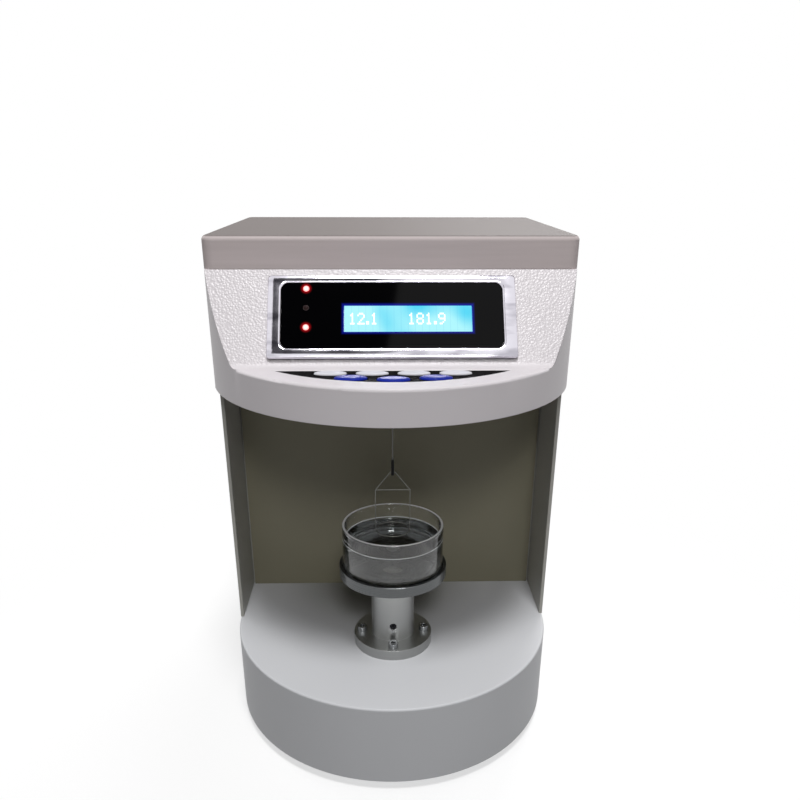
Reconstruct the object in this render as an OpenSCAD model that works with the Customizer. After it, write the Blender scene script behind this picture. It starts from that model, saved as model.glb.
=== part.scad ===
// Bench-top ring tensiometer: D-shaped base with a lift stage, open sample bay, sensor head and lift-off lid.
// Millimetres, +Z up. The origin is on the bench, under the middle of the outline.

/* [Overall] */
// Width of the base and the column; the nose of the base is a half circle of this diameter
body_w = 190; // [176:1:204]
// Depth from the centre of the nose's half circle to the back of the column
back_d = 146; // [140:1:160]
// Height of the base casing
base_h = 48.5; // [47:0.5:54]
// Clear height of the sample bay between the base and the head
bay_h = 149; // [144:1:170]
// Height of the sensor head under the lid
head_h = 62; // [60:0.5:68]
// Height of the lid
lid_h = 16.5; // [14:0.5:24]
// Height of the rubber feet
foot_h = 6; // [4:0.5:10]

/* [Base] */
// Sheet thickness of the base casing
casing_t = 1.5; // [1:0.1:2]
// Rounding of the casing's upper edge
casing_edge_r = 1.2; // [0.6:0.1:2.5]
// Thickness of the base plate that closes the casing from below
base_plate_t = 2; // [1.5:0.1:3]
// Largest diameter of a foot
foot_d = 18; // [14:0.5:24]
// Distance of the feet from the casing's sides and back
foot_inset = 22; // [18:1:30]
// Distance of the front feet in front of the nose's centre
foot_nose = 52; // [40:1:60]

/* [Column] */
// Thickness of the two cheeks
cheek_t = 1.9; // [1.2:0.1:2.5]
// Distance of the cheeks' front edges in front of the nose's centre
cheek_nose = 2.8; // [0:0.1:8]
// Depth from the nose's centre to the face of the back panel
panel_d = 38.5; // [30:0.5:48]
// Gap between the back panel and each cheek
panel_gap = 1; // [0.5:0.1:2]
// Sheet thickness of the back panel and the rear cover
panel_t = 1.5; // [1:0.1:2]
// Distance of the rear cover's face inside the column's back edge
rear_inset = 4; // [3.5:0.1:6]
// Width of the folded flanges
flange_w = 12; // [10:0.5:16]

/* [Head] */
// Width of the head
head_w = 192; // [180:1:206]
// Radius of the head's front
head_r = 100; // [98:0.5:112]
// Distance of the head's front from the nose's centre
head_nose = 80; // [76:0.5:84]
// Wall of the head moulding
head_t = 3; // [2:0.1:3.5]
// Height of the lip under the display panel
lip_h = 18.5; // [16:0.5:22]
// Rounding of the lip's upper edge
lip_edge_r = 1.5; // [0.5:0.1:2.5]
// Lean of the display panel from upright, in degrees
panel_tilt = 35.3; // [32:0.1:37]
// Radius of the fillet between the display panel and the lip
panel_fillet_r = 5; // [2:0.5:6]
// Diameter of the hole in the head's floor that the hanger passes through
hanger_hole_d = 12; // [10:0.5:18]

/* [Lid] */
// Distance of the lid's front face in front of the nose's centre
lid_nose = 8.5; // [6:0.1:10]
// Overhang of the lid past the head's sides and back
lid_over = 1; // [0.5:0.1:3]
// Wall of the lid
lid_t = 2; // [1.5:0.1:3]
// Plan radius of the lid's corners
lid_corner_r = 6; // [4:0.5:10]
// Rounding of the lid's upper edge
lid_edge_r = 2.5; // [1:0.1:3.5]
// Height of the ribs that centre the lid in the head
lid_rib_h = 4; // [2:0.5:6]

/* [Display] */
// Width of the chrome bezel
bezel_w = 126; // [118:1:134]
// Height of the chrome bezel
bezel_h = 45; // [42:0.5:46]
// Thickness of the bezel in front of the panel
bezel_t = 2.4; // [1.5:0.1:4]
// Chamfer of the bezel's edges
bezel_chamfer = 1; // [0.4:0.1:1.4]
// Distance from the panel's upper edge to the bezel
bezel_drop = 4.2; // [3.5:0.1:6]
// Width of the black window
window_w = 112; // [108:1:114]
// Height of the black window
window_h = 35; // [33:0.5:36]
// Corner radius of the window
window_r = 4; // [2:0.5:6]
// Thickness of the window
window_t = 1.8; // [1.2:0.1:2]
// Distance of the window's centre above the bezel's centre
window_up = 0.6; // [0:0.1:1]
// Width of the display's lit area
lcd_w = 64.5; // [60:0.5:68]
// Height of the display's lit area
lcd_h = 14; // [12:0.5:16]
// Distance of the lit area's centre to the right of the bezel's centre
lcd_right = 8; // [0:0.5:12]
// Distance of the lit area's centre below the bezel's centre
lcd_down = 1.2; // [0:0.1:3]
// Diameter of the indicator lamps
led_d = 3; // [2:0.1:4]
// Distance between neighbouring indicator lamps
led_pitch = 10.5; // [9:0.5:11]
// Distance of the lamps to the left of the bezel's centre
led_left = 43.5; // [40:0.5:48]

/* [Keypad] */
// Width of the lip's rim in front of the keypad
keypad_margin = 12; // [10:0.5:14]
// Distance of the keypad's straight edge in front of the display panel's foot
keypad_gap = 4.3; // [3.5:0.1:6]
// Depth of the keypad's surface below the lip's
keypad_recess = 0.6; // [0.2:0.1:1]
// Thickness of the keypad plate
keypad_t = 1.6; // [1.2:0.1:2]
// Distance between neighbouring keys of a row
key_pitch = 20.4; // [19.5:0.1:22]
// Width of a key
key_w = 16; // [14:0.5:17]
// Depth of a front key
front_key_d = 9.5; // [8:0.5:10]
// Depth of a back key
back_key_d = 7; // [5:0.5:7.5]
// Height of a key above the keypad plate
key_up = 1.4; // [1:0.1:2]
// Travel of a key
key_travel = 0.8; // [0.4:0.1:1]

/* [Stage] */
// Distance of the stage's axis in front of the nose's centre
stage_nose = 28.5; // [24:0.5:32]
// Travel of the stage
stage_travel = 14; // [8:0.5:14]
// Diameter of the pedestal's flange
flange_d = 45.6; // [43:0.2:50]
// Thickness of the pedestal's flange
flange_t = 6.2; // [4:0.1:8]
// Outer diameter of the pedestal's sleeve
sleeve_d = 25; // [24:0.2:27]
// Bore of the pedestal's sleeve
sleeve_bore_d = 19; // [18.4:0.2:20]
// Height of the pedestal above the base
sleeve_h = 45; // [42:0.5:50]
// Diameter of the circle of flange screws
flange_pcd = 36.4; // [34.5:0.2:37]
// Number of flange screws
flange_screw_count = 4; // [3:1:6]
// Height of the guide pin above the base
guide_pin_h = 16; // [14:0.5:20]
// Diameter of the lift rod
rod_d = 14.9; // [14:0.1:15.5]
// Diameter of the dish tray
tray_d = 61.2; // [60:0.2:66]
// Thickness of the dish tray
tray_t = 6; // [5:0.1:8]
// Depth of the recess that holds the dish
tray_recess = 2; // [1:0.1:2.5]

/* [Dish] */
// Outer diameter of the glass dish
dish_d = 57; // [54:0.2:58.5]
// Height of the glass dish
dish_h = 26.5; // [24:0.5:30]
// Wall of the glass dish
dish_t = 1.6; // [1.2:0.1:2.4]

/* [Ring] */
// Mean diameter of the measuring ring
ring_d = 19.1; // [16:0.1:20]
// Diameter of the ring's wire
ring_wire_d = 0.6; // [0.5:0.05:0.8]
// Diameter of the stirrup's wire
stirrup_wire_d = 0.5; // [0.4:0.05:0.7]
// Height of the ring above the base
ring_up = 72.6; // [68:0.1:76]
// Height of the stirrup's crossbar above the ring
stirrup_bar_up = 23.9; // [18:0.1:26]
// Height of the stirrup's apex above the ring
stirrup_apex_up = 34.2; // [30:0.1:38]

/* [Drive] */
// Diameter of the lead screw
screw_d = 6; // [5:0.1:6.5]
// Module of the two gears
gear_module = 1; // [0.9:0.05:1.05]
// Teeth on the driven gear
gear_teeth = 40; // [36:1:42]
// Teeth on the motor's pinion
pinion_teeth = 16; // [14:1:18]
// Face width of the driven gear
gear_face = 5; // [4:0.5:6]
// Outer diameter of the two bearings
bearing_d = 16; // [14:0.5:17]
// Width of the two bearings
bearing_w = 5; // [4:0.5:5]
// Diameter of the motor
motor_d = 35; // [30:0.5:37]

/* [Rear] */
// Height of the row of connectors above the base
connector_up = 30; // [24:1:40]
// Distance of the power inlet to the right of the middle, seen from the front
inlet_x = 52; // [44:1:60]
// Distance of the power switch to the right of the middle, seen from the front
switch_x = 12; // [6:1:18]
// Distance of the serial port to the left of the middle, seen from the front
serial_x = 45; // [38:1:56]
// Number of vent slots in each block
vent_count = 8; // [4:1:10]
// Length of a vent slot
vent_l = 46; // [30:1:60]
// Width of a vent slot
vent_w = 3; // [2:0.5:4]

/* [Hidden] */

// Roundness of large, middle and small curves
large_fn = 144;
middle_fn = 64;
small_fn = 32;
// Overcut that lets a cutter leave the surface it cuts
over = 1;
// Clearance round a fixed piece in its seat, and of a screw in its hole
seat_gap = 0.15;
hole_gap = 0.1;
// Radial clearance of a shaft in its bearing
run_gap = 0.04;

nose_r = body_w / 2;
total_d = nose_r + back_d + lid_over;
nose_y = nose_r - total_d / 2;
base_z0 = foot_h;
base_z1 = base_z0 + base_h;
head_z0 = base_z1 + bay_h;
head_z1 = head_z0 + head_h;
column_back_y = nose_y + back_d;
back_panel_y = nose_y + panel_d;
rear_y = column_back_y - rear_inset;
cavity_y0 = back_panel_y + panel_t;
cavity_y1 = rear_y - panel_t;
cheek_in_x = nose_r - cheek_t;
panel_half_w = cheek_in_x - panel_gap;

head_cy = nose_y - head_nose + head_r;
lid_front_y = nose_y - lid_nose;
ledge_z = head_z0 + lip_h;
panel_drop = head_z1 - ledge_z;
panel_foot_y = lid_front_y - panel_drop * tan(panel_tilt);
fillet_facets = 8;

keypad_r = head_r - keypad_margin;
keypad_back_y = panel_foot_y - keypad_gap;
keypad_z1 = ledge_z - keypad_recess;
keypad_z0 = keypad_z1 - keypad_t;
keypad_rim = 1.2;
keypad_seat_t = 1.2;
key_gap = 0.3;
key_flange = 0.5;
key_flange_t = 1;
key_edge = keypad_rim + key_gap + key_flange;
front_key_r = keypad_r - key_edge - 0.2 - front_key_d / 2;
back_key_y = keypad_back_y - key_edge - 0.2 - back_key_d / 2;
key_board_z = keypad_z0 - key_flange_t - key_travel - 4;

stage_y = nose_y - stage_nose;
flange_z = base_z1 + flange_t;
sleeve_z = base_z1 + sleeve_h;
tray_z0 = sleeve_z + 0.8;
tray_z1 = tray_z0 + tray_t;
dish_z0 = tray_z1 - tray_recess;
rod_z0 = base_z0 + 27;
guide_pin_z = base_z1 + guide_pin_h;
guide_pin_d = 4;
guide_tip_d = 3;
slot_depth = 2;

ring_r = ring_d / 2;
ring_z = base_z1 + ring_up;
bar_z = ring_z + stirrup_bar_up;
apex_z = ring_z + stirrup_apex_up;
fork_pin_z = head_z0 - 0.5;
fork_pin_d = 1.2;
eye_d = 3.2;
eye_t = 2;
hook_d = 1.6;
hook_l = 10;
cell_z0 = head_z0 + head_t + 2.5;
cell_h = 8;
cell_w = 12;
cell_l = 80;
cell_front = 5;
cell_bracket_x = 11;
cell_bracket_y = stage_y + cell_l - cell_front - 14;

gear_r = gear_module * gear_teeth / 2;
pinion_r = gear_module * pinion_teeth / 2;
motor_y = stage_y + gear_r + pinion_r;
plate_z1 = base_z0 + base_plate_t;
gear_z = plate_z1 + 7;
drive_deck_z = plate_z1 + 18;
drive_deck_t = 3;
drive_boss_t = bearing_w - drive_deck_t;
screw_z1 = rod_z0 + 45;
motor_shaft_d = 5;
motor_h = 17;
nut_d = 11;
nut_h = 10;
spigot_d = 10;
spigot_h = 2;
pressure_angle = 20;

// Electronics in the column
board_t = 1.6;
spacer_l = 8;
board_y = cavity_y0 + spacer_l;
core_w = 57;
core_h = 48;
core_d = 20;
coil_d = 38;
core_foot_t = 2;
core_strap = 10;
transformer_x = -(cheek_in_x - flange_w - core_w / 2 - core_strap - 2.5);
transformer_back = 42;
transformer_y = cavity_y1 - transformer_back;
board_up = 78;
board_w = 116;
board_h = 92;
board_edge = 6;
display_board_w = 104;
cable_slot_l = 26;
cable_slot_w = 14;
cable_slot_in = 40;

// Standard-size pieces in the rear cover
connector_z = base_z1 + connector_up;
inlet_body_w = 27.5;
inlet_body_h = 20;
switch_w = 13;
switch_h = 19.2;
serial_w = 19;
serial_h = 11;
rocker_r = 8.2;
rocker_w = 10.4;
rocker_depth = 4;
rocker_tilt = 8;

// Display unit behind the panel
display_depth = 8.8;
board_hole_x = 38;
board_hole_y = 16.4;
lcd_frame_w = lcd_w + 7;
lcd_frame_h = lcd_h + 12;

// Places of repeated pieces
side_x = nose_r - foot_inset;
foot_places = [[-side_x, column_back_y - foot_inset], [side_x, column_back_y - foot_inset],
    [-side_x + 12, nose_y - foot_nose + 14], [side_x - 12, nose_y - foot_nose + 14]];
tab_x = nose_r - casing_t - 7;
tab_places = [for (side = [-1, 1], depth = [30, back_d - 40]) [side * tab_x, nose_y + depth]];
flange_x = cheek_in_x - flange_w / 2;
fold_inset = 8;
column_ys = [cavity_y0 + 22, cavity_y1 - 22];
cover_zs = [base_z1 + 12, base_z1 + bay_h / 2, head_z0 - 12];
panel_zs = [base_z1 + 20, head_z0 - 20];
spacer_places = [for (side = [-1, 1], up = [-1, 1])
    [side * (board_w / 2 - board_edge), base_z1 + board_up + up * (board_h / 2 - board_edge)]];
led_ups = [led_pitch + 4.7, 4.7, 4.7 - led_pitch];
key_xs = [-key_pitch, 0, key_pitch];
back_key_xs = [-1.5 * key_pitch, -key_pitch / 2, key_pitch / 2, 1.5 * key_pitch];
key_post_angles = [-36, -12, 12, 36];
key_post_d = 2.4;

// ---- helpers ----

// Evenly spaced values from a to b, both included
function steps(a, b, n) = [for (k = [0:n]) a + (b - a) * k / n];

// Countersunk, pan or socket screw: the head sits on z = 0 and the shank points down
module screw(d, l, head_d, head_h) {
    difference() {
        union() {
            cylinder(d = head_d, h = head_h, $fn = small_fn);
            translate([0, 0, -l])
                cylinder(d = d, h = l + head_h / 2, $fn = small_fn);
        }
        translate([0, 0, head_h * 0.45])
            cylinder(d = head_d * 0.5, h = head_h, $fn = 6);
    }
}

// Half section of a slab with a rounded upper edge: r wide, h high
module edge_section(r, h, edge) {
    difference() {
        square([r, h]);
        translate([r - edge, h - edge]) difference() {
            square(edge + over);
            circle(edge, $fn = small_fn);
        }
    }
}

// D-shaped drum: half disc towards -Y, straight sides to y = back
module drum(r, back, h, edge) {
    rotate([0, 0, 180])
        rotate_extrude(angle = 180, $fn = large_fn) edge_section(r, h, edge);
    translate([0, back, 0]) rotate([90, 0, 0]) linear_extrude(back) {
        edge_section(r, h, edge);
        mirror([1, 0]) edge_section(r, h, edge);
    }
}

// Rectangular slab with corners of radius corner and a rounded upper edge
module soft_slab(w, d, h, corner, edge) {
    for (sx = [-1, 1], sy = [-1, 1])
        translate([sx * (w / 2 - corner), sy * (d / 2 - corner), 0])
            rotate_extrude($fn = middle_fn) edge_section(corner, h, edge);
    translate([0, d / 2 - corner, 0]) rotate([90, 0, 0]) linear_extrude(d - 2 * corner) {
        edge_section(w / 2, h, edge);
        mirror([1, 0]) edge_section(w / 2, h, edge);
    }
    translate([corner - w / 2, 0, 0]) rotate([90, 0, 90]) linear_extrude(w - 2 * corner) {
        edge_section(d / 2, h, edge);
        mirror([1, 0]) edge_section(d / 2, h, edge);
    }
}

// Rectangle with round corners, centred
module round_rect(w, h, r) {
    square([w - 2 * r, h], center = true);
    square([w, h - 2 * r], center = true);
    for (sx = [-1, 1], sy = [-1, 1])
        translate([sx * (w / 2 - r), sy * (h / 2 - r)]) circle(r, $fn = small_fn);
}

// Slot with round ends along X, centred
module slot(l, w) {
    square([l - w, w], center = true);
    for (side = [-1, 1]) translate([side * (l - w) / 2, 0]) circle(d = w, $fn = small_fn);
}

// Round bar between two points of the plane y = 0, given as [x, z]
module bar(from, to, d) {
    step = to - from;
    translate([from[0], 0, from[1]]) rotate([0, atan2(step[0], step[1]), 0])
        cylinder(d = d, h = norm(step), $fn = small_fn / 2);
}

// Folded strip of a cheek that stands on z = 0, from x0 to the outer face and from y0 to y1
module strip(x0, y0, y1, h) {
    translate([x0, y0, 0]) cube([nose_r - x0, y1 - y0, h]);
}

// Involute gear flanks
function inv(a) = tan(a) * 180 / PI - a;
function flank_angle(r, teeth, base_r) =
    88 / teeth + inv(pressure_angle) - (r > base_r ? inv(acos(base_r / r)) : 0);
function tooth(i, teeth, base_r, radii) = [
    for (r = radii) [r, (i * 360 / teeth) - flank_angle(r, teeth, base_r)],
    for (k = [len(radii) - 1:-1:0]) [radii[k], (i * 360 / teeth) + flank_angle(radii[k], teeth, base_r)]];

module gear_outline(teeth, tip) {
    pitch_r = gear_module * teeth / 2;
    base_r = pitch_r * cos(pressure_angle);
    root_r = pitch_r - 1.25 * gear_module;
    radii = concat([root_r], steps(max(base_r, root_r + 0.05), pitch_r + tip * gear_module, 4));
    polygon([for (i = [0:teeth - 1], p = tooth(i, teeth, base_r, radii)) p[0] * [cos(p[1]), sin(p[1])]]);
}

// Frame on the display panel: origin at the bezel's centre, +Y up the panel, +Z out of it
module on_panel() {
    down = bezel_drop + bezel_h / 2;
    translate([0, lid_front_y - down * sin(panel_tilt), head_z1 - down * cos(panel_tilt)])
        rotate([90 - panel_tilt, 0, 0]) children();
}

// Frame on the stage's axis
module on_stage(z) {
    translate([0, stage_y, z]) children();
}

// Frame on the outer face of the rear cover: +Y up, +Z out of the cover
module on_rear(x, z) {
    translate([x, rear_y, z]) rotate([90, 0, 180]) children();
}

// ---- base ----

module casing_color() {
    color("gainsboro") children();
}

module base_casing() {
    casing_color() difference() {
        translate([0, nose_y, base_z0]) union() {
            difference() {
                drum(nose_r, back_d, base_h, casing_edge_r);
                translate([0, 0, -over])
                    drum(nose_r - casing_t, back_d - casing_t, base_h - casing_t + over, casing_edge_r / 2);
            }
            for (p = tab_places) translate([p[0], p[1] - nose_y, base_plate_t])
                translate([-7.5, -7, 0]) cube([15, 14, casing_t]);
        }
        on_stage(base_z1 - 2 * casing_t) cylinder(d = sleeve_bore_d, h = 4 * casing_t, $fn = middle_fn);
        flange_screw_places() translate([0, 0, -casing_t - over])
            cylinder(d = 3 + hole_gap, h = casing_t + 2 * over, $fn = small_fn);
        for (p = tab_places) translate([p[0], p[1], base_z0])
            cylinder(d = 3 + hole_gap, h = base_plate_t + casing_t + over, $fn = small_fn);
        column_screw_places() translate([0, 0, base_z1 - casing_t - over])
            cylinder(d = 3 + hole_gap, h = casing_t + 2 * over, $fn = small_fn);
        transformer_screw_places() translate([0, 0, -casing_t - over])
            cylinder(d = 3 + hole_gap, h = casing_t + 2 * over, $fn = small_fn);
        translate([0, cavity_y0 + cable_slot_in, base_z1 - casing_t - over])
            linear_extrude(casing_t + 2 * over) slot(cable_slot_l, cable_slot_w);
    }
}

module base_plate() {
    inset = casing_t + seat_gap;
    color("silver") difference() {
        translate([0, nose_y, base_z0]) drum(nose_r - inset, back_d - inset, base_plate_t, 0.2);
        for (p = concat(foot_places, tab_places, bracket_places())) translate([p[0], p[1], base_z0 - over])
            cylinder(d = 3 + hole_gap, h = base_plate_t + 2 * over, $fn = small_fn);
    }
}

module rubber_feet() {
    color("dimgray") for (p = foot_places) translate([p[0], p[1], 0]) difference() {
        cylinder(d1 = foot_d - 3, d2 = foot_d, h = foot_h, $fn = small_fn);
        translate([0, 0, -over]) cylinder(d = 8, h = foot_h / 2 + over, $fn = small_fn);
        cylinder(d = 3 + hole_gap, h = foot_h + over, $fn = small_fn);
    }
}

// Screws of the feet, of the base plate's tabs and of the drive bracket's posts
module base_screws() {
    color("silver") {
        for (p = foot_places) translate([p[0], p[1], foot_h / 2]) rotate([180, 0, 0])
            screw(3, foot_h / 2 + base_plate_t + 2, 5.5, 1.6);
        for (p = concat(tab_places, bracket_places())) translate([p[0], p[1], base_z0]) rotate([180, 0, 0])
            screw(3, base_plate_t + casing_t + 1, 5.5, 1.6);
    }
}

// ---- column ----

module column_screw_places() {
    for (side = [-1, 1], y = column_ys) translate([side * flange_x, y, 0]) children();
}

// Right-hand cheek; the left one is its mirror image
module cheek() {
    y0 = nose_y - cheek_nose;
    casing_color() difference() {
        translate([0, 0, base_z1]) {
            strip(cheek_in_x, y0, column_back_y, bay_h);
            for (y = [cavity_y0, cavity_y1 - panel_t]) strip(cheek_in_x - flange_w, y, y + panel_t, bay_h);
            for (z = [0, bay_h - panel_t]) translate([0, 0, z])
                strip(cheek_in_x - flange_w, cavity_y0 + fold_inset, cavity_y1 - fold_inset, panel_t);
        }
        column_screw_places() translate([0, 0, base_z1 - over])
            cylinder(d = 3 + hole_gap, h = bay_h + 2 * over, $fn = small_fn);
        for (z = cover_zs) translate([flange_x, cavity_y1 + over, z]) rotate([90, 0, 0])
            cylinder(d = 3 + hole_gap, h = panel_t + 2 * over, $fn = small_fn);
        for (z = panel_zs) translate([flange_x, cavity_y0 + panel_t + over, z]) rotate([90, 0, 0])
            cylinder(d = 3 + hole_gap, h = panel_t + 2 * over, $fn = small_fn);
    }
}

module right_cheek() {
    cheek();
}

module left_cheek() {
    mirror([1, 0, 0]) cheek();
}

// Screws of the cheeks' flanges and of the transformer's feet
module column_screws() {
    color("silver") {
        column_screw_places() {
            translate([0, 0, base_z1 + panel_t]) screw(3, panel_t + casing_t + 1, 5.5, 1.6);
            translate([0, 0, head_z0 - panel_t]) rotate([180, 0, 0])
                screw(3, panel_t + head_t - 0.5, 5.5, 1.6);
        }
        transformer_screw_places() translate([0, 0, core_foot_t])
            screw(3, core_foot_t + casing_t + 1, 5.5, 1.6);
    }
}

module back_panel() {
    casing_color() difference() {
        translate([-panel_half_w, back_panel_y, base_z1]) cube([2 * panel_half_w, panel_t, bay_h]);
        for (side = [-1, 1], z = panel_zs) translate([side * flange_x, back_panel_y + 0.7, z])
            rotate([-90, 0, 0]) cylinder(d = 3 + hole_gap, h = panel_t, $fn = small_fn);
        for (p = spacer_places) translate([p[0], back_panel_y + 0.7, p[1]]) rotate([-90, 0, 0])
            cylinder(d = 3 + hole_gap, h = panel_t, $fn = small_fn);
    }
}

module panel_screws() {
    color("silver") for (side = [-1, 1], z = panel_zs)
        translate([side * flange_x, cavity_y0 + panel_t, z]) rotate([-90, 0, 0])
            screw(3, panel_t + 0.7, 5.5, 1.6);
}

module rear_cover() {
    half_w = cheek_in_x - seat_gap;
    casing_color() difference() {
        translate([-half_w, cavity_y1, base_z1 + seat_gap])
            cube([2 * half_w, panel_t, bay_h - 2 * seat_gap]);
        for (side = [-1, 1], z = cover_zs) on_rear(side * flange_x, z)
            cylinder(d = 3 + hole_gap, h = 4 * panel_t, center = true, $fn = small_fn);
        on_rear(inlet_x, connector_z) linear_extrude(4 * panel_t, center = true)
            round_rect(inlet_body_w + 2 * seat_gap, inlet_body_h + 2 * seat_gap, 2);
        on_rear(switch_x, connector_z) linear_extrude(4 * panel_t, center = true)
            square([switch_w + 2 * seat_gap, switch_h + 2 * seat_gap], center = true);
        on_rear(-serial_x, connector_z) linear_extrude(4 * panel_t, center = true)
            round_rect(serial_w + 2 * seat_gap, serial_h + 2 * seat_gap, 2);
        for (side = [-1, 1], k = [0:vent_count - 1])
            on_rear(side * 40, head_z0 - 22 - k * 2.2 * vent_w)
                linear_extrude(4 * panel_t, center = true) slot(vent_l, vent_w);
    }
}

module cover_screws() {
    color("silver") for (side = [-1, 1], z = cover_zs) on_rear(side * flange_x, z)
        screw(3, 2 * panel_t + 2, 5.5, 1.8);
}

// ---- rear connectors ----

module power_inlet() {
    color("black") on_rear(inlet_x, connector_z) {
        difference() {
            union() {
                linear_extrude(2.2) round_rect(inlet_body_w + 3.5, inlet_body_h + 4, 2);
                translate([0, 0, -20]) linear_extrude(20.2)
                    round_rect(inlet_body_w, inlet_body_h, 2);
            }
            translate([0, 0, -14]) linear_extrude(20)
                polygon([[-12.2, -8.2], [12.2, -8.2], [12.2, 3.5], [7.5, 8.2], [-7.5, 8.2], [-12.2, 3.5]]);
        }
        for (x = [-7, 0, 7]) translate([x - 1, (x == 0 ? 1 : -3) - 2, -14.5]) cube([2, 4, 10]);
    }
}

module switch_body() {
    color("black") on_rear(switch_x, connector_z) difference() {
        union() {
            linear_extrude(1.5) square([switch_w + 2, switch_h + 2], center = true);
            translate([0, 0, -18]) linear_extrude(18.2) square([switch_w, switch_h], center = true);
        }
        translate([0, 0, -rocker_r - rocker_depth - 0.5]) linear_extrude(rocker_r + rocker_depth + 4)
            square([rocker_w + 0.6, 2 * rocker_r + 0.6], center = true);
    }
}

module switch_rocker() {
    color("black") on_rear(switch_x, connector_z) translate([0, 0, 1.5 - rocker_depth])
        rotate([rocker_tilt, 0, 0]) rotate([0, -90, 0])
            linear_extrude(rocker_w, center = true) intersection() {
                circle(rocker_r, $fn = middle_fn);
                polygon([[-rocker_r / 2, -rocker_r - over], [rocker_depth + 1.6, -rocker_r - over],
                    [rocker_depth + 0.4, 0], [rocker_depth + 1.6, rocker_r + over],
                    [-rocker_r / 2, rocker_r + over]]);
            }
}

module serial_port() {
    color("silver") on_rear(-serial_x, connector_z) {
        linear_extrude(1) difference() {
            round_rect(31, 12.6, 1.5);
            for (side = [-1, 1]) translate([side * 12.5, 0]) circle(d = 3.2, $fn = small_fn);
        }
        translate([0, 0, -10]) linear_extrude(10.2) round_rect(serial_w, serial_h, 2);
        difference() {
            linear_extrude(3.6) round_rect(serial_w - 2, serial_h - 3, 2);
            for (row = [0, 1], k = [0:4 - row]) translate([(k - 2 + row / 2) * 2.8, 1.4 - row * 2.8, 1])
                cylinder(d = 1.2, h = 4, $fn = small_fn / 2);
        }
    }
}

// ---- electronics ----

module transformer_screw_places() {
    for (side = [-1, 1])
        translate([transformer_x + side * (core_w + core_strap) / 2, transformer_y, base_z1]) children();
}

// Laminated core on a mounting strap, with the coil standing out on both sides
module transformer() {
    color("dimgray") difference() {
        translate([transformer_x, transformer_y, base_z1]) rotate([90, 0, 0]) {
            linear_extrude(core_d, center = true) translate([0, core_foot_t + core_h / 2])
                round_rect(core_w, core_h, 1);
            linear_extrude(core_d, center = true)
                translate([-core_w / 2 - core_strap, 0]) square([core_w + 2 * core_strap, core_foot_t]);
            linear_extrude(coil_d, center = true) translate([0, core_foot_t + core_h / 2])
                round_rect(core_w * 0.68, core_h * 0.66, 5);
        }
        transformer_screw_places() translate([0, 0, -over])
            cylinder(d = 3 + hole_gap, h = core_foot_t + 2 * over, $fn = small_fn);
    }
}

module board_spacers() {
    color("gold") for (p = spacer_places) translate([p[0], cavity_y0, p[1]]) rotate([-90, 0, 0]) {
        cylinder(d = 5.5, h = spacer_l, $fn = 6);
        translate([0, 0, -0.8]) cylinder(d = 3, h = spacer_l + 3.6, $fn = small_fn);
        translate([0, 0, spacer_l + board_t]) cylinder(d = 5.5, h = 2, $fn = 6);
    }
}

module main_board() {
    up = base_z1 + board_up;
    color("darkgreen") translate([0, board_y, up]) rotate([-90, 0, 0]) {
        difference() {
            linear_extrude(board_t) round_rect(board_w, board_h, 2);
            for (p = spacer_places) translate([p[0], up - p[1], -over])
                cylinder(d = 3 + hole_gap, h = board_t + 2 * over, $fn = small_fn);
        }
        translate([0, 0, board_t]) {
            translate([-16, -14, 0]) cube([26, 26, 3]);
            translate([18, -30, 0]) cube([10, 22, 4]);
            for (k = [0:2]) translate([34, -26 + 16 * k, 0]) cylinder(d = 12, h = 18, $fn = small_fn);
            for (k = [0:3]) translate([-44 + 22 * k, 30, 0]) cube([16, 7, 9]);
            translate([-46, -34, 0]) cube([12, 40, 14]);
        }
    }
}

// ---- head ----

// Plan of the head, drawn in by inset
module head_plan(inset) {
    w = head_w - 2 * inset;
    intersection() {
        translate([0, head_cy]) circle(head_r - inset, $fn = large_fn);
        translate([-w / 2, head_cy - head_r]) square([w, head_r]);
    }
    translate([-w / 2, head_cy - over]) square([w, column_back_y - inset - head_cy + over]);
}

// Section of the air in front of the display panel and above the lip, grown by inset
module front_air(inset) {
    turn = 90 - panel_tilt;
    foot = [panel_foot_y + inset * tan(turn / 2), ledge_z - inset];
    r = panel_fillet_r + inset;
    centre = foot + [-r * tan(turn / 2), r];
    rise = head_z1 + over - foot[1];
    front = head_cy - head_r - over;
    fillet = [for (a = steps(-90, -panel_tilt, fillet_facets)) centre + r * [cos(a), sin(a)]];
    top = [foot + [rise * tan(panel_tilt), rise], [front, head_z1 + over]];
    polygon(concat([[front, foot[1]]], fillet, top));
}

module head_form(inset, z0, z1) {
    difference() {
        translate([0, 0, z0]) linear_extrude(z1 - z0) head_plan(inset);
        translate([-head_w / 2 - over, 0, 0]) rotate([90, 0, 90])
            linear_extrude(head_w + 2 * over) front_air(inset);
    }
}

// Crescent between the keypad's straight edge and an arc along the lip, drawn in by inset
module crescent(inset) {
    intersection() {
        translate([0, head_cy]) circle(keypad_r - inset, $fn = large_fn);
        translate([-head_r, head_cy - head_r])
            square([2 * head_r, keypad_back_y - inset - head_cy + head_r]);
    }
}

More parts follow.
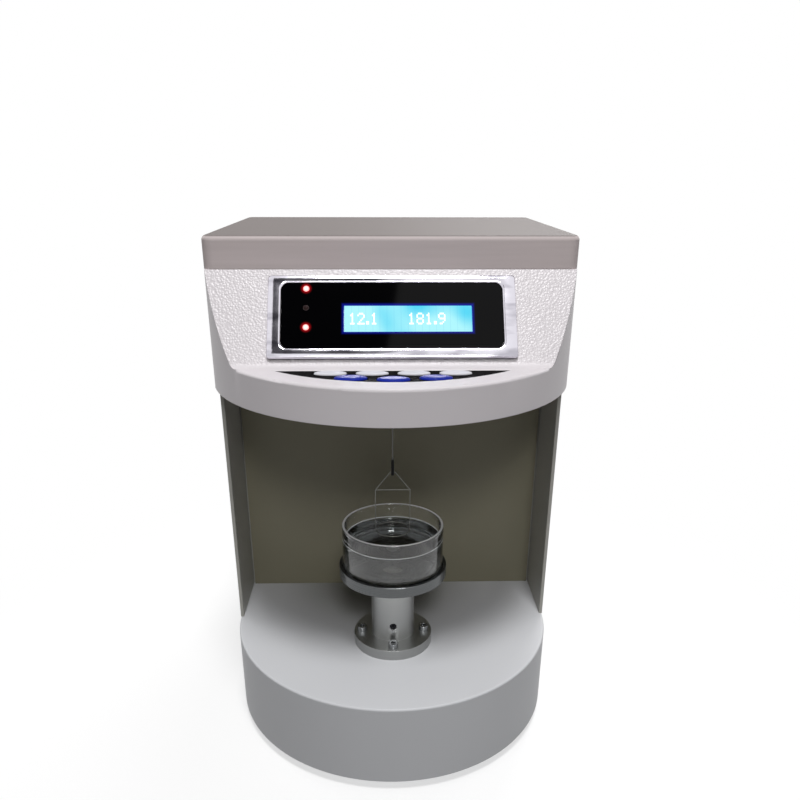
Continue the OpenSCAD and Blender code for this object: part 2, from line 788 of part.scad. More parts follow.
module head_shell() {
    casing_color() difference() {
        union() {
            difference() {
                head_form(0, head_z0, head_z1);
                head_form(head_t, head_z0 + head_t, head_z1 + over);
            }
            translate([0, 0, keypad_z0 - keypad_seat_t])
                linear_extrude(ledge_z - head_t / 2 - keypad_z0 + keypad_seat_t) crescent(-1.5);
            for (a = key_post_angles) translate([0, head_cy, key_board_z]) rotate([0, 0, a - 90])
                translate([keypad_r + 0.2, 0, 0])
                    cylinder(d = key_post_d, h = keypad_z0 - key_board_z - keypad_seat_t / 2, $fn = small_fn);
            on_panel() for (sx = [-1, 1], sy = [-1, 1])
                translate([lcd_right - 4 + sx * board_hole_x, -lcd_down + sy * board_hole_y, -display_depth])
                    cylinder(d = 5, h = display_depth - head_t / 2, $fn = small_fn);
        }
        lip_rounding();
        translate([0, 0, keypad_z0]) linear_extrude(lip_h) crescent(0);
        translate([0, 0, keypad_z0 - lip_h / 2]) linear_extrude(lip_h) crescent(keypad_rim);
        on_panel() {
            translate([lcd_right, -lcd_down, 0]) linear_extrude(4 * head_t, center = true)
                square([lcd_frame_w + 2 * seat_gap, lcd_frame_h + 2 * seat_gap], center = true);
            for (up = led_ups) translate([-led_left, up, 0])
                cylinder(d = led_d + 0.6, h = 4 * head_t, center = true, $fn = small_fn);
        }
        on_stage(head_z0 - over) cylinder(d = hanger_hole_d, h = head_t + 2 * over, $fn = middle_fn);
        column_screw_places() translate([0, 0, head_z0 - over])
            cylinder(d = 3 + hole_gap, h = head_t + 2 * over, $fn = small_fn);
        translate([0, cavity_y0 + cable_slot_in, head_z0 - over])
            linear_extrude(head_t + 2 * over) slot(cable_slot_l, cable_slot_w);
        for (x = [-cell_bracket_x, cell_bracket_x]) translate([x, cell_bracket_y, head_z0 - over])
            cylinder(d = 3 + hole_gap, h = head_t + 2 * over, $fn = small_fn);
    }
}

// Cutter that rounds the lip's upper edge and runs out, sloped as the panel, just before the fillet
module lip_rounding() {
    end_y = panel_foot_y - panel_fillet_r * tan((90 - panel_tilt) / 2) - 0.2;
    front = head_cy - head_r - over;
    low = lip_edge_r + over;
    intersection() {
        translate([0, head_cy, ledge_z - lip_edge_r]) rotate_extrude($fn = large_fn)
            translate([head_r - lip_edge_r, 0]) difference() {
                square(lip_edge_r + over);
                circle(lip_edge_r, $fn = small_fn);
            }
        translate([-head_r, 0, ledge_z]) rotate([90, 0, 90]) linear_extrude(2 * head_r)
            polygon([[front, -low], [end_y - low * tan(panel_tilt), -low],
                [end_y + over * tan(panel_tilt), over], [front, over]]);
    }
}

module lid() {
    w = head_w + 2 * lid_over;
    back_y = column_back_y + lid_over;
    d = back_y - lid_front_y;
    rib_gap = 0.4;
    casing_color() translate([0, (back_y + lid_front_y) / 2, head_z1]) {
        difference() {
            soft_slab(w, d, lid_h, lid_corner_r, lid_edge_r);
            translate([0, 0, -over])
                soft_slab(w - 2 * lid_t, d - 2 * lid_t, lid_h - lid_t + over,
                    lid_corner_r - lid_t, lid_edge_r / 2);
        }
        for (side = [-1, 1]) translate([side * (head_w / 2 - head_t - rib_gap - 2) - 1, -d / 4, -lid_rib_h])
            cube([2, d / 2, lid_h + lid_rib_h - lid_t / 2]);
        translate([-w / 4, d / 2 - lid_over - head_t - rib_gap - 3, -lid_rib_h])
            cube([w / 2, 2, lid_h + lid_rib_h - lid_t / 2]);
    }
}

// ---- display ----

module chamfered_section(w, t, c) {
    polygon([[-w / 2, 0], [w / 2, 0], [w / 2, t - c], [w / 2 - c, t], [c - w / 2, t], [-w / 2, t - c]]);
}

// Block whose front edges are cut back by a chamfer on all four sides
module chamfered_block(w, h, t, c) {
    intersection() {
        rotate([90, 0, 0]) linear_extrude(h + over, center = true) chamfered_section(w, t, c);
        rotate([90, 0, 90]) linear_extrude(w + over, center = true) chamfered_section(h, t, c);
    }
}

module bezel() {
    color("lightsteelblue") on_panel() difference() {
        chamfered_block(bezel_w, bezel_h, bezel_t, bezel_chamfer);
        translate([0, window_up, -over]) linear_extrude(bezel_t + 2 * over)
            round_rect(window_w + 2 * seat_gap, window_h + 2 * seat_gap, window_r);
    }
}

module display_window() {
    color("black") on_panel() difference() {
        translate([0, window_up, 0]) linear_extrude(window_t) round_rect(window_w, window_h, window_r);
        translate([lcd_right, -lcd_down, -over]) linear_extrude(window_t + 2 * over)
            square([lcd_w + 2 * seat_gap, lcd_h + 2 * seat_gap], center = true);
        for (up = led_ups) translate([-led_left, up, -over])
            cylinder(d = led_d + 2 * seat_gap, h = window_t + 2 * over, $fn = small_fn);
    }
}

module lcd_glass() {
    color("deepskyblue") on_panel() translate([lcd_right, -lcd_down, -0.4])
        linear_extrude(0.4 + window_t - 0.2) square([lcd_w, lcd_h], center = true);
}

module lcd_module() {
    color("dimgray") on_panel() translate([lcd_right, -lcd_down, -display_depth])
        linear_extrude(display_depth - 0.4) square([lcd_frame_w, lcd_frame_h], center = true);
}

module display_board() {
    color("darkgreen") on_panel() translate([lcd_right - 4, -lcd_down, -display_depth - board_t])
        linear_extrude(board_t) difference() {
            square([display_board_w, 2 * board_hole_y + 6], center = true);
            for (sx = [-1, 1], sy = [-1, 1]) translate([sx * board_hole_x, sy * board_hole_y])
                circle(d = 3, $fn = small_fn);
        }
}

module led(up) {
    on_panel() translate([-led_left, up, -display_depth]) {
        cylinder(d = led_d, h = display_depth + window_t, $fn = small_fn);
        translate([0, 0, display_depth + window_t - 1]) sphere(d = led_d, $fn = small_fn);
    }
}

module led_top() {
    color("red") led(led_ups[0]);
}

module led_middle() {
    color("darkred") led(led_ups[1]);
}

module led_bottom() {
    color("red") led(led_ups[2]);
}

// ---- keypad ----

// Oval plate, centred
module oval(w, d, h) {
    scale([1, d / w, 1]) cylinder(d = w, h = h, $fn = 40);
}

// Puts a key's frame in place, on the lower face of the keypad plate
module at_back_key(i) {
    translate([back_key_xs[i], back_key_y, keypad_z0]) children();
}

module at_front_key(i) {
    translate([key_xs[i], head_cy - sqrt(front_key_r ^ 2 - key_xs[i] ^ 2), keypad_z0]) children();
}

// Key with a retaining flange under the plate and a domed step on top
module key(d) {
    up = keypad_t + key_up;
    translate([0, 0, -key_flange_t - 0.1]) oval(key_w + 2 * key_flange, d + 2 * key_flange, key_flange_t);
    translate([0, 0, -0.2]) oval(key_w, d, up - 0.2);
    translate([0, 0, -0.2]) oval(key_w - 1.2, d - 1.2, up + 0.2);
}

module back_key_1() {
    color("ghostwhite") at_back_key(0) key(back_key_d);
}

module back_key_2() {
    color("ghostwhite") at_back_key(1) key(back_key_d);
}

module back_key_3() {
    color("ghostwhite") at_back_key(2) key(back_key_d);
}

module back_key_4() {
    color("ghostwhite") at_back_key(3) key(back_key_d);
}

module front_key_1() {
    color("royalblue") at_front_key(0) key(front_key_d);
}

module front_key_2() {
    color("royalblue") at_front_key(1) key(front_key_d);
}

module front_key_3() {
    color("royalblue") at_front_key(2) key(front_key_d);
}

module keypad_plate() {
    color("black") difference() {
        translate([0, 0, keypad_z0]) linear_extrude(keypad_t) crescent(seat_gap);
        for (i = [0:3]) at_back_key(i) translate([0, 0, -over])
            oval(key_w + 2 * key_gap, back_key_d + 2 * key_gap, keypad_t + 2 * over);
        for (i = [0:2]) at_front_key(i) translate([0, 0, -over])
            oval(key_w + 2 * key_gap, front_key_d + 2 * key_gap, keypad_t + 2 * over);
    }
}

module key_board() {
    switch_z = keypad_z0 - key_flange_t - key_travel - 0.3;
    color("darkgreen") {
        translate([0, 0, key_board_z - board_t]) linear_extrude(board_t) crescent(-1.5);
        for (i = [0:3]) translate([back_key_xs[i] - 3, back_key_y - 3, key_board_z - 0.1]) {
            cube([6, 6, 2.5]);
            translate([3, 3, 0]) cylinder(d = 3.5, h = switch_z - key_board_z, $fn = small_fn);
        }
        for (i = [0:2]) at_front_key(i) translate([-3, -3, key_board_z - 0.1 - keypad_z0]) {
            cube([6, 6, 2.5]);
            translate([3, 3, 0]) cylinder(d = 3.5, h = switch_z - key_board_z, $fn = small_fn);
        }
    }
}

// ---- sensor ----

module cell_screw_places() {
    for (side = [-1, 1]) translate([0, cell_bracket_y + side * 6, 0]) children();
}

// Bending beam with the usual pair of joined bores in its middle
module load_cell() {
    color("silver") difference() {
        translate([0, stage_y - cell_front, cell_z0 + cell_h / 2]) rotate([90, 0, 90])
            linear_extrude(cell_w, center = true) difference() {
                translate([0, -cell_h / 2]) square([cell_l, cell_h]);
                for (side = [-1, 1]) translate([cell_l / 2 + side * 9, 0])
                    circle(d = cell_h - 2.4, $fn = small_fn);
                translate([cell_l / 2 - 9, -0.8]) square([18, 1.6]);
            }
        cell_screw_places() translate([0, 0, cell_z0 - over])
            cylinder(d = 3 + hole_gap, h = cell_h + 2 * over, $fn = small_fn);
    }
}

module cell_bracket() {
    color("silver") difference() {
        translate([-cell_bracket_x - 5, cell_bracket_y - 12, head_z0 + head_t])
            cube([2 * cell_bracket_x + 10, 24, cell_z0 - head_z0 - head_t]);
        for (x = [-cell_bracket_x, cell_bracket_x]) translate([x, cell_bracket_y, head_z0])
            cylinder(d = 3 + hole_gap, h = head_t + cell_h, $fn = small_fn);
        cell_screw_places() translate([0, 0, head_z0])
            cylinder(d = 3 + hole_gap, h = head_t + cell_h, $fn = small_fn);
    }
}

module cell_screws() {
    color("silver") {
        for (x = [-cell_bracket_x, cell_bracket_x]) translate([x, cell_bracket_y, cell_z0])
            screw(3, cell_z0 - head_z0 - 0.5, 5.5, 1.6);
        cell_screw_places() translate([0, 0, cell_z0 + cell_h]) screw(3, cell_h + 2, 5.5, 1.6);
    }
}

// Fork that hangs from the load cell and holds the hanger's eye on a pin along Y
module sensor_fork() {
    slot_w = eye_t + 0.4;
    color("silver") on_stage(0) {
        difference() {
            translate([-2.5, -3, fork_pin_z - 1.6]) cube([5, 6, cell_z0 - fork_pin_z + 1.6]);
            translate([-2.5 - over, -slot_w / 2, fork_pin_z - 1.6 - over])
                cube([5 + 2 * over, slot_w, 3.6 + over]);
        }
        translate([0, 0, fork_pin_z]) rotate([90, 0, 0])
            cylinder(d = fork_pin_d, h = 6, center = true, $fn = small_fn);
    }
}

// Wire hanger: eye on top, black hook with a cross bore for the ring's stirrup below
module hanger() {
    color("black") on_stage(0) {
        difference() {
            union() {
                translate([0, 0, fork_pin_z]) rotate([90, 0, 0])
                    cylinder(d = eye_d, h = eye_t, center = true, $fn = small_fn);
                translate([0, 0, apex_z + hook_l - 3])
                    cylinder(d = 0.9, h = fork_pin_z - apex_z - hook_l + 3 - 1, $fn = small_fn / 2);
            }
            translate([0, 0, fork_pin_z]) rotate([90, 0, 0])
                cylinder(d = fork_pin_d + 2 * run_gap, h = eye_t + over, center = true, $fn = small_fn);
        }
        difference() {
            translate([0, 0, apex_z - 1.6]) cylinder(d = hook_d, h = hook_l, $fn = small_fn);
            translate([0, 0, apex_z]) rotate([0, 90, 0])
                cylinder(d = ring_wire_d + 2 * run_gap, h = hook_d + over, center = true, $fn = small_fn);
        }
    }
}

// Measuring ring on its stirrup: apex pin, sloping wires, crossbar, two legs and the ring
module ring() {
    pin_x = hook_d / 2 + 0.6;
    color("lightgray") on_stage(0) {
        bar([-pin_x, apex_z], [pin_x, apex_z], ring_wire_d);
        bar([-ring_r, bar_z], [ring_r, bar_z], stirrup_wire_d);
        for (side = [-1, 1]) {
            bar([side * ring_r, bar_z], [side * pin_x, apex_z], stirrup_wire_d);
            bar([side * ring_r, ring_z], [side * ring_r, bar_z], stirrup_wire_d);
            for (p = [[side * pin_x, apex_z], [side * ring_r, bar_z]]) translate([p[0], 0, p[1]])
                sphere(d = ring_wire_d + 0.1, $fn = small_fn / 2);
        }
        translate([0, 0, ring_z]) rotate_extrude($fn = middle_fn)
            translate([ring_r, 0]) circle(d = ring_wire_d, $fn = small_fn / 2);
    }
}

// ---- stage ----

module flange_screw_places() {
    for (i = [0:flange_screw_count - 1]) on_stage(base_z1) rotate([0, 0, i * 360 / flange_screw_count - 90])
        translate([flange_pcd / 2, 0, 0]) children();
}

module pedestal() {
    color("silver") difference() {
        on_stage(base_z1) {
            cylinder(d = flange_d, h = flange_t, $fn = middle_fn);
            cylinder(d = sleeve_d, h = sleeve_h, $fn = middle_fn);
        }
        on_stage(base_z1 - over) cylinder(d = sleeve_bore_d, h = sleeve_h + 2 * over, $fn = middle_fn);
        flange_screw_places() translate([0, 0, -over])
            cylinder(d = 3 + hole_gap, h = flange_t + 2 * over, $fn = small_fn);
        guide_pin_bore(guide_pin_d + hole_gap);
    }
}

// Cross bore from the front into the stage's axis
module guide_pin_bore(d) {
    on_stage(guide_pin_z) rotate([90, 0, 0]) cylinder(d = d, h = sleeve_d, $fn = small_fn);
}

module flange_screws() {
    color("silver") flange_screw_places() translate([0, 0, flange_t]) screw(3, flange_t + 4, 5.6, 3);
}

module guide_bush() {
    color("darkgoldenrod") difference() {
        on_stage(base_z1) cylinder(d = sleeve_bore_d, h = sleeve_h - 1, $fn = middle_fn);
        on_stage(base_z1 - over) cylinder(d = rod_d + 2 * run_gap, h = sleeve_h + over, $fn = middle_fn);
        guide_pin_bore(guide_tip_d + hole_gap);
    }
}

module guide_pin() {
    seat_r = sleeve_bore_d / 2 + 0.1;
    tip_r = rod_d / 2 - slot_depth + 0.4;
    color("dimgray") on_stage(guide_pin_z) rotate([90, 0, 0]) {
        difference() {
            translate([0, 0, seat_r]) cylinder(d = guide_pin_d, h = 1.6, $fn = small_fn);
            translate([0, 0, seat_r + 0.8]) cylinder(d = 2, h = over, $fn = 6);
        }
        translate([0, 0, tip_r]) cylinder(d = guide_tip_d, h = seat_r - tip_r, $fn = small_fn);
    }
}

// Hollow lift rod with a guide slot in front, a pocket for the nut below and a spigot on top
module lift_rod() {
    slot_w = guide_tip_d + 2 * run_gap;
    slot_low = guide_pin_z - stage_travel - 0.3;
    color("silver") on_stage(0) difference() {
        union() {
            translate([0, 0, rod_z0]) cylinder(d = rod_d, h = tray_z0 - rod_z0, $fn = middle_fn);
            translate([0, 0, tray_z0]) cylinder(d = spigot_d, h = spigot_h, $fn = middle_fn);
        }
        translate([0, 0, rod_z0 - over]) cylinder(d = nut_d, h = nut_h + over, $fn = middle_fn);
        translate([0, 0, rod_z0]) cylinder(d = screw_d + 2, h = screw_z1 + 4 - rod_z0, $fn = small_fn);
        translate([0, 0, screw_z1 + 8]) cylinder(d = 4, h = tray_z1, $fn = small_fn);
        for (z = [slot_low, guide_pin_z + 0.3])
            translate([0, 0, z]) rotate([90, 0, 0]) translate([0, 0, rod_d / 2 - slot_depth])
                cylinder(d = slot_w, h = sleeve_d, $fn = small_fn);
        translate([-slot_w / 2, -sleeve_d, slot_low])
            cube([slot_w, sleeve_d - rod_d / 2 + slot_depth, guide_pin_z + 0.3 - slot_low]);
    }
}

module lift_nut() {
    color("darkgoldenrod") on_stage(rod_z0) difference() {
        cylinder(d = nut_d, h = nut_h, $fn = middle_fn);
        translate([0, 0, -over]) cylinder(d = screw_d + 2 * run_gap, h = nut_h + 2 * over, $fn = small_fn);
    }
}

module dish_tray() {
    color("silver") on_stage(0) difference() {
        translate([0, 0, tray_z0]) rotate_extrude($fn = middle_fn) edge_section(tray_d / 2, tray_t, 0.5);
        translate([0, 0, dish_z0]) cylinder(d = dish_d + 0.8, h = tray_t, $fn = middle_fn);
        translate([0, 0, tray_z0 - over]) cylinder(d = spigot_d, h = spigot_h + over, $fn = middle_fn);
        translate([0, 0, tray_z0]) cylinder(d = 4, h = tray_t, $fn = small_fn);
        translate([0, 0, dish_z0 - 1.6]) cylinder(d = 8, h = tray_t, $fn = small_fn);
    }
}

module tray_screw() {
    color("silver") on_stage(dish_z0 - 1.6) screw(4 - hole_gap, 8, 7.6, 1.4);
}

// Half section of the dish's outer form, or of its inner space when drawn in by inset
module dish_section(inset) {
    r = dish_d / 2 - inset;
    bend = 4 - inset;
    translate([0, inset]) square([r - bend, bend]);
    translate([0, inset + bend]) square([r, dish_h - inset - bend - dish_t / 2]);
    intersection() {
        translate([r - bend, inset + bend]) circle(bend, $fn = small_fn);
        square([dish_d, dish_h]);
    }
}

module dish() {
    color("lightcyan", 0.4) on_stage(dish_z0) rotate_extrude($fn = 96) {
        difference() {
            dish_section(0);
            dish_section(dish_t);
        }
        translate([dish_d / 2 - dish_t / 2, dish_h - dish_t / 2]) circle(d = dish_t, $fn = small_fn / 2);
    }
}

// ---- drive ----

function bracket_places() = [for (sx = [-1, 1], y = [stage_y - 22, motor_y + 20]) [sx * 24, y]];

module drive_bracket() {
    y0 = stage_y - 28;
    y1 = motor_y + 26;
    color("darkgray") difference() {
        union() {
            for (z = [plate_z1, drive_deck_z]) translate([-30, y0, z]) cube([60, y1 - y0, drive_deck_t]);
            for (p = bracket_places()) translate([p[0], p[1], plate_z1])
                cylinder(d = 8, h = drive_deck_z - plate_z1 + drive_deck_t / 2, $fn = small_fn);
            on_stage(plate_z1) cylinder(d = bearing_d + 5, h = bearing_w, $fn = middle_fn);
            on_stage(drive_deck_z - drive_boss_t) cylinder(d = bearing_d + 5, h = bearing_w, $fn = middle_fn);
        }
        on_stage(plate_z1 - over) cylinder(d = bearing_d, h = bearing_w + 2 * over, $fn = middle_fn);
        on_stage(drive_deck_z - drive_boss_t - over)
            cylinder(d = bearing_d, h = bearing_w + 2 * over, $fn = middle_fn);
        translate([0, motor_y, drive_deck_z - over])
            cylinder(d = motor_shaft_d + 3, h = drive_deck_t + 2 * over, $fn = small_fn);
        for (p = bracket_places()) translate([p[0], p[1], plate_z1 - over])
            cylinder(d = 3 + hole_gap, h = 8 + over, $fn = small_fn);
        translate([0, motor_y, 0]) motor_screw_places(-drive_deck_t - over)
            cylinder(d = 3 + hole_gap, h = drive_deck_t + 2 * over, $fn = small_fn);
    }
}

module bearing(z) {
    on_stage(z) difference() {
        cylinder(d = bearing_d, h = bearing_w, $fn = middle_fn);
        translate([0, 0, -over])
            cylinder(d = screw_d + 2 * run_gap, h = bearing_w + 2 * over, $fn = small_fn);
        for (end = [-1, 1]) translate([0, 0, bearing_w / 2 + end * (bearing_w / 2 + over - 0.4)])
            linear_extrude(2 * over, center = true) difference() {
                circle(d = bearing_d - 3, $fn = small_fn);
                circle(d = bearing_d - 7, $fn = small_fn);
            }
    }
}

module lower_bearing() {
    color("silver") bearing(plate_z1);
}

module upper_bearing() {
    color("silver") bearing(drive_deck_z - drive_boss_t);
}

module lead_screw() {
    collar_z = plate_z1 + bearing_w;
    color("silver") on_stage(0) {
        translate([0, 0, plate_z1 + 0.3])
            cylinder(d = screw_d, h = screw_z1 - plate_z1 - 1.3, $fn = small_fn);
        translate([0, 0, screw_z1 - 1]) cylinder(d1 = screw_d, d2 = screw_d - 2, h = 1, $fn = small_fn);
        translate([0, 0, collar_z + 0.1])
            cylinder(d = screw_d + 2, h = gear_z - collar_z - 0.1, $fn = small_fn);
    }
}

module driven_gear() {
    color("gold") on_stage(gear_z) difference() {
        union() {
            rotate([0, 0, 90]) linear_extrude(gear_face) gear_outline(gear_teeth, 0.85);
            cylinder(d = screw_d + 6, h = gear_face + 3, $fn = small_fn);
        }
        translate([0, 0, -over]) cylinder(d = screw_d, h = gear_face + 3 + 2 * over, $fn = small_fn);
        for (k = [0:5]) rotate([0, 0, 60 * k]) translate([gear_r * 0.58, 0, -over])
            cylinder(d = gear_r * 0.3, h = gear_face + 2 * over, $fn = small_fn);
    }
}

// Places of the motor's two screws, measured from the motor's axis and seat
module motor_screw_places(up) {
    for (side = [-1, 1])
        translate([side * (motor_d / 2 + 4), 0, drive_deck_z + drive_deck_t + up]) children();
}

module stage_motor() {
    color("dimgray") translate([0, motor_y, drive_deck_z + drive_deck_t]) difference() {
        union() {
            cylinder(d = motor_d, h = motor_h, $fn = middle_fn);
            linear_extrude(1) {
                square([motor_d + 8, 8], center = true);
                for (side = [-1, 1]) translate([side * (motor_d / 2 + 4), 0]) circle(d = 8, $fn = small_fn);
            }
        }
        translate([0, 0, -over])
            cylinder(d = motor_shaft_d + 2 * run_gap, h = motor_h - 3 + over, $fn = small_fn);
        motor_screw_places(-drive_deck_z - drive_deck_t - over)
            cylinder(d = 3 + hole_gap, h = motor_h, $fn = small_fn);
    }
}

module motor_screws() {
    color("silver") translate([0, motor_y, 0]) motor_screw_places(1) screw(3, drive_deck_t, 5.5, 1.6);
}

module motor_pinion() {
    color("gold") translate([0, motor_y, gear_z - 0.5]) {
        rotate([0, 0, -90 + 180 / pinion_teeth]) linear_extrude(gear_face + 1) gear_outline(pinion_teeth, 1);
        cylinder(d = motor_shaft_d, h = drive_deck_z + drive_deck_t + 10 - gear_z + 0.5, $fn = small_fn);
    }
}

base_casing();
base_plate();
rubber_feet();
base_screws();
left_cheek();
right_cheek();
column_screws();
back_panel();
panel_screws();
rear_cover();
cover_screws();
power_inlet();
switch_body();
switch_rocker();
serial_port();
transformer();
main_board();
board_spacers();
head_shell();
lid();
bezel();
display_window();
lcd_glass();
lcd_module();
display_board();
led_top();
led_middle();
led_bottom();
keypad_plate();
key_board();
back_key_1();
back_key_2();
back_key_3();
back_key_4();
front_key_1();
front_key_2();
front_key_3();
load_cell();
cell_bracket();
cell_screws();
sensor_fork();
hanger();
ring();
pedestal();
flange_screws();
guide_bush();
guide_pin();
lift_rod();
lift_nut();
dish_tray();
tray_screw();
dish();
drive_bracket();
lower_bearing();
upper_bearing();
lead_screw();
driven_gear();
stage_motor();
motor_screws();
motor_pinion();
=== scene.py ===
"""Bench-top ring tensiometer: finishes, fine pieces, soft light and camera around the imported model.

Lengths in the code are millimetres unless a name says otherwise, and become metres where a mesh is made.
"""
import logging
import math
from abc import ABC, abstractmethod
from contextlib import contextmanager
from dataclasses import dataclass
from enum import Enum
from typing import Iterator, Optional, Sequence

import bpy
from bpy.types import Material, Node, NodeSocket, NodeTree, Object
from mathutils import Matrix, Vector


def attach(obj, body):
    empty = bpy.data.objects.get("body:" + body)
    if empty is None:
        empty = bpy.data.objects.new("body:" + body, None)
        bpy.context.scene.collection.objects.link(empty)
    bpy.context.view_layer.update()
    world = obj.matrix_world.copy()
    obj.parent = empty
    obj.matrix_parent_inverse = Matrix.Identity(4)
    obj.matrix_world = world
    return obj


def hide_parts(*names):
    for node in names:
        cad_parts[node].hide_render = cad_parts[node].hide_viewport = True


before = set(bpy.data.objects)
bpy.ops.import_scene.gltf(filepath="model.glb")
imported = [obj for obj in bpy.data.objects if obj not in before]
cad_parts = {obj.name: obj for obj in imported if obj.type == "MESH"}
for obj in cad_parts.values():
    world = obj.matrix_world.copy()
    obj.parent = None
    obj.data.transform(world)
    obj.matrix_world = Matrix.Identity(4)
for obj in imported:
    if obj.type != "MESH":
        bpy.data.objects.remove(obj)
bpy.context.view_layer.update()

LOG = logging.getLogger("tensiometer")
MM = 0.001
Pair = tuple[float, float]
Point = tuple[float, float, float]
Link = tuple[Node, str]

PANEL_MIDDLE: Point = (0.0, -49.93, 243.71)
ACROSS: Point = (1.0, 0.0, 0.0)
UP_PANEL: Point = (0.0, 0.5779, 0.8161)
OUT_OF_PANEL: Point = (0.0, -0.8161, 0.5779)
PANEL_LEAN = 35.3

# How a copy of a CAD node is cleaned up, with angles in degrees.
WELD_DISTANCE = 0.002
FLAT_ANGLE = 0.4
CREASE_ANGLE = 40.0
CAD_SMOOTH = 32.0
STAGE_AXIS: Pair = (0.0, -54.5)


def metres(lengths: Sequence[float]) -> tuple[float, ...]:
    """Turns lengths in millimetres into metres."""
    return tuple(length * MM for length in lengths)


def linear(hex_colour: str) -> tuple[float, float, float, float]:
    """Turns an sRGB colour into the linear values that sockets take.

    Args:
        hex_colour: colour as "#RRGGBB".

    Returns:
        Linear red, green, blue and an alpha of 1.
    """
    parts = [int(hex_colour[i:i + 2], 16) / 255 for i in (1, 3, 5)]
    straight = [c / 12.92 if c <= 0.04045 else ((c + 0.055) / 1.055) ** 2.4 for c in parts]
    return (straight[0], straight[1], straight[2], 1.0)


def socket(sockets: bpy.types.bpy_prop_collection, key: str) -> NodeSocket:
    """Finds a socket by identifier first and by name second.

    Args:
        sockets: a node's inputs or outputs.
        key: identifier or name.

    Returns:
        The socket.
    """
    return next((s for s in sockets if s.identifier == key), None) or sockets[key]


def add_node(tree: NodeTree, kind: str, values: Optional[dict[str, object]] = None,
             links: Optional[dict[str, Link]] = None) -> Node:
    """Adds a node with its settings and links.

    Args:
        tree: node tree that gets the node.
        kind: the node's type name without its prefix.
        values: attributes in lower case, or values of input sockets by identifier or name.
        links: input socket, by identifier or name, to the node and output that feed it.

    Returns:
        The new node.
    """
    made = tree.nodes.new("ShaderNode" + kind)
    for key, value in (values or {}).items():
        if key.islower() and hasattr(made, key):
            setattr(made, key, value)
        else:
            socket(made.inputs, key).default_value = value
    for key, (source, output) in (links or {}).items():
        tree.links.new(socket(source.outputs, output), socket(made.inputs, key))
    return made


def new_material(name: str, colour: str, roughness: float = 0.5) -> Material:
    """Makes a material of one colour.

    Args:
        name: its name.
        colour: its base colour in sRGB hex.
        roughness: its roughness.

    Returns:
        The material.
    """
    made = bpy.data.materials.new(name)
    made.use_nodes = True
    surface = made.node_tree.nodes["Principled BSDF"]
    surface.inputs["Base Color"].default_value = linear(colour)
    surface.inputs["Roughness"].default_value = roughness
    return made


# ---- finishes ----


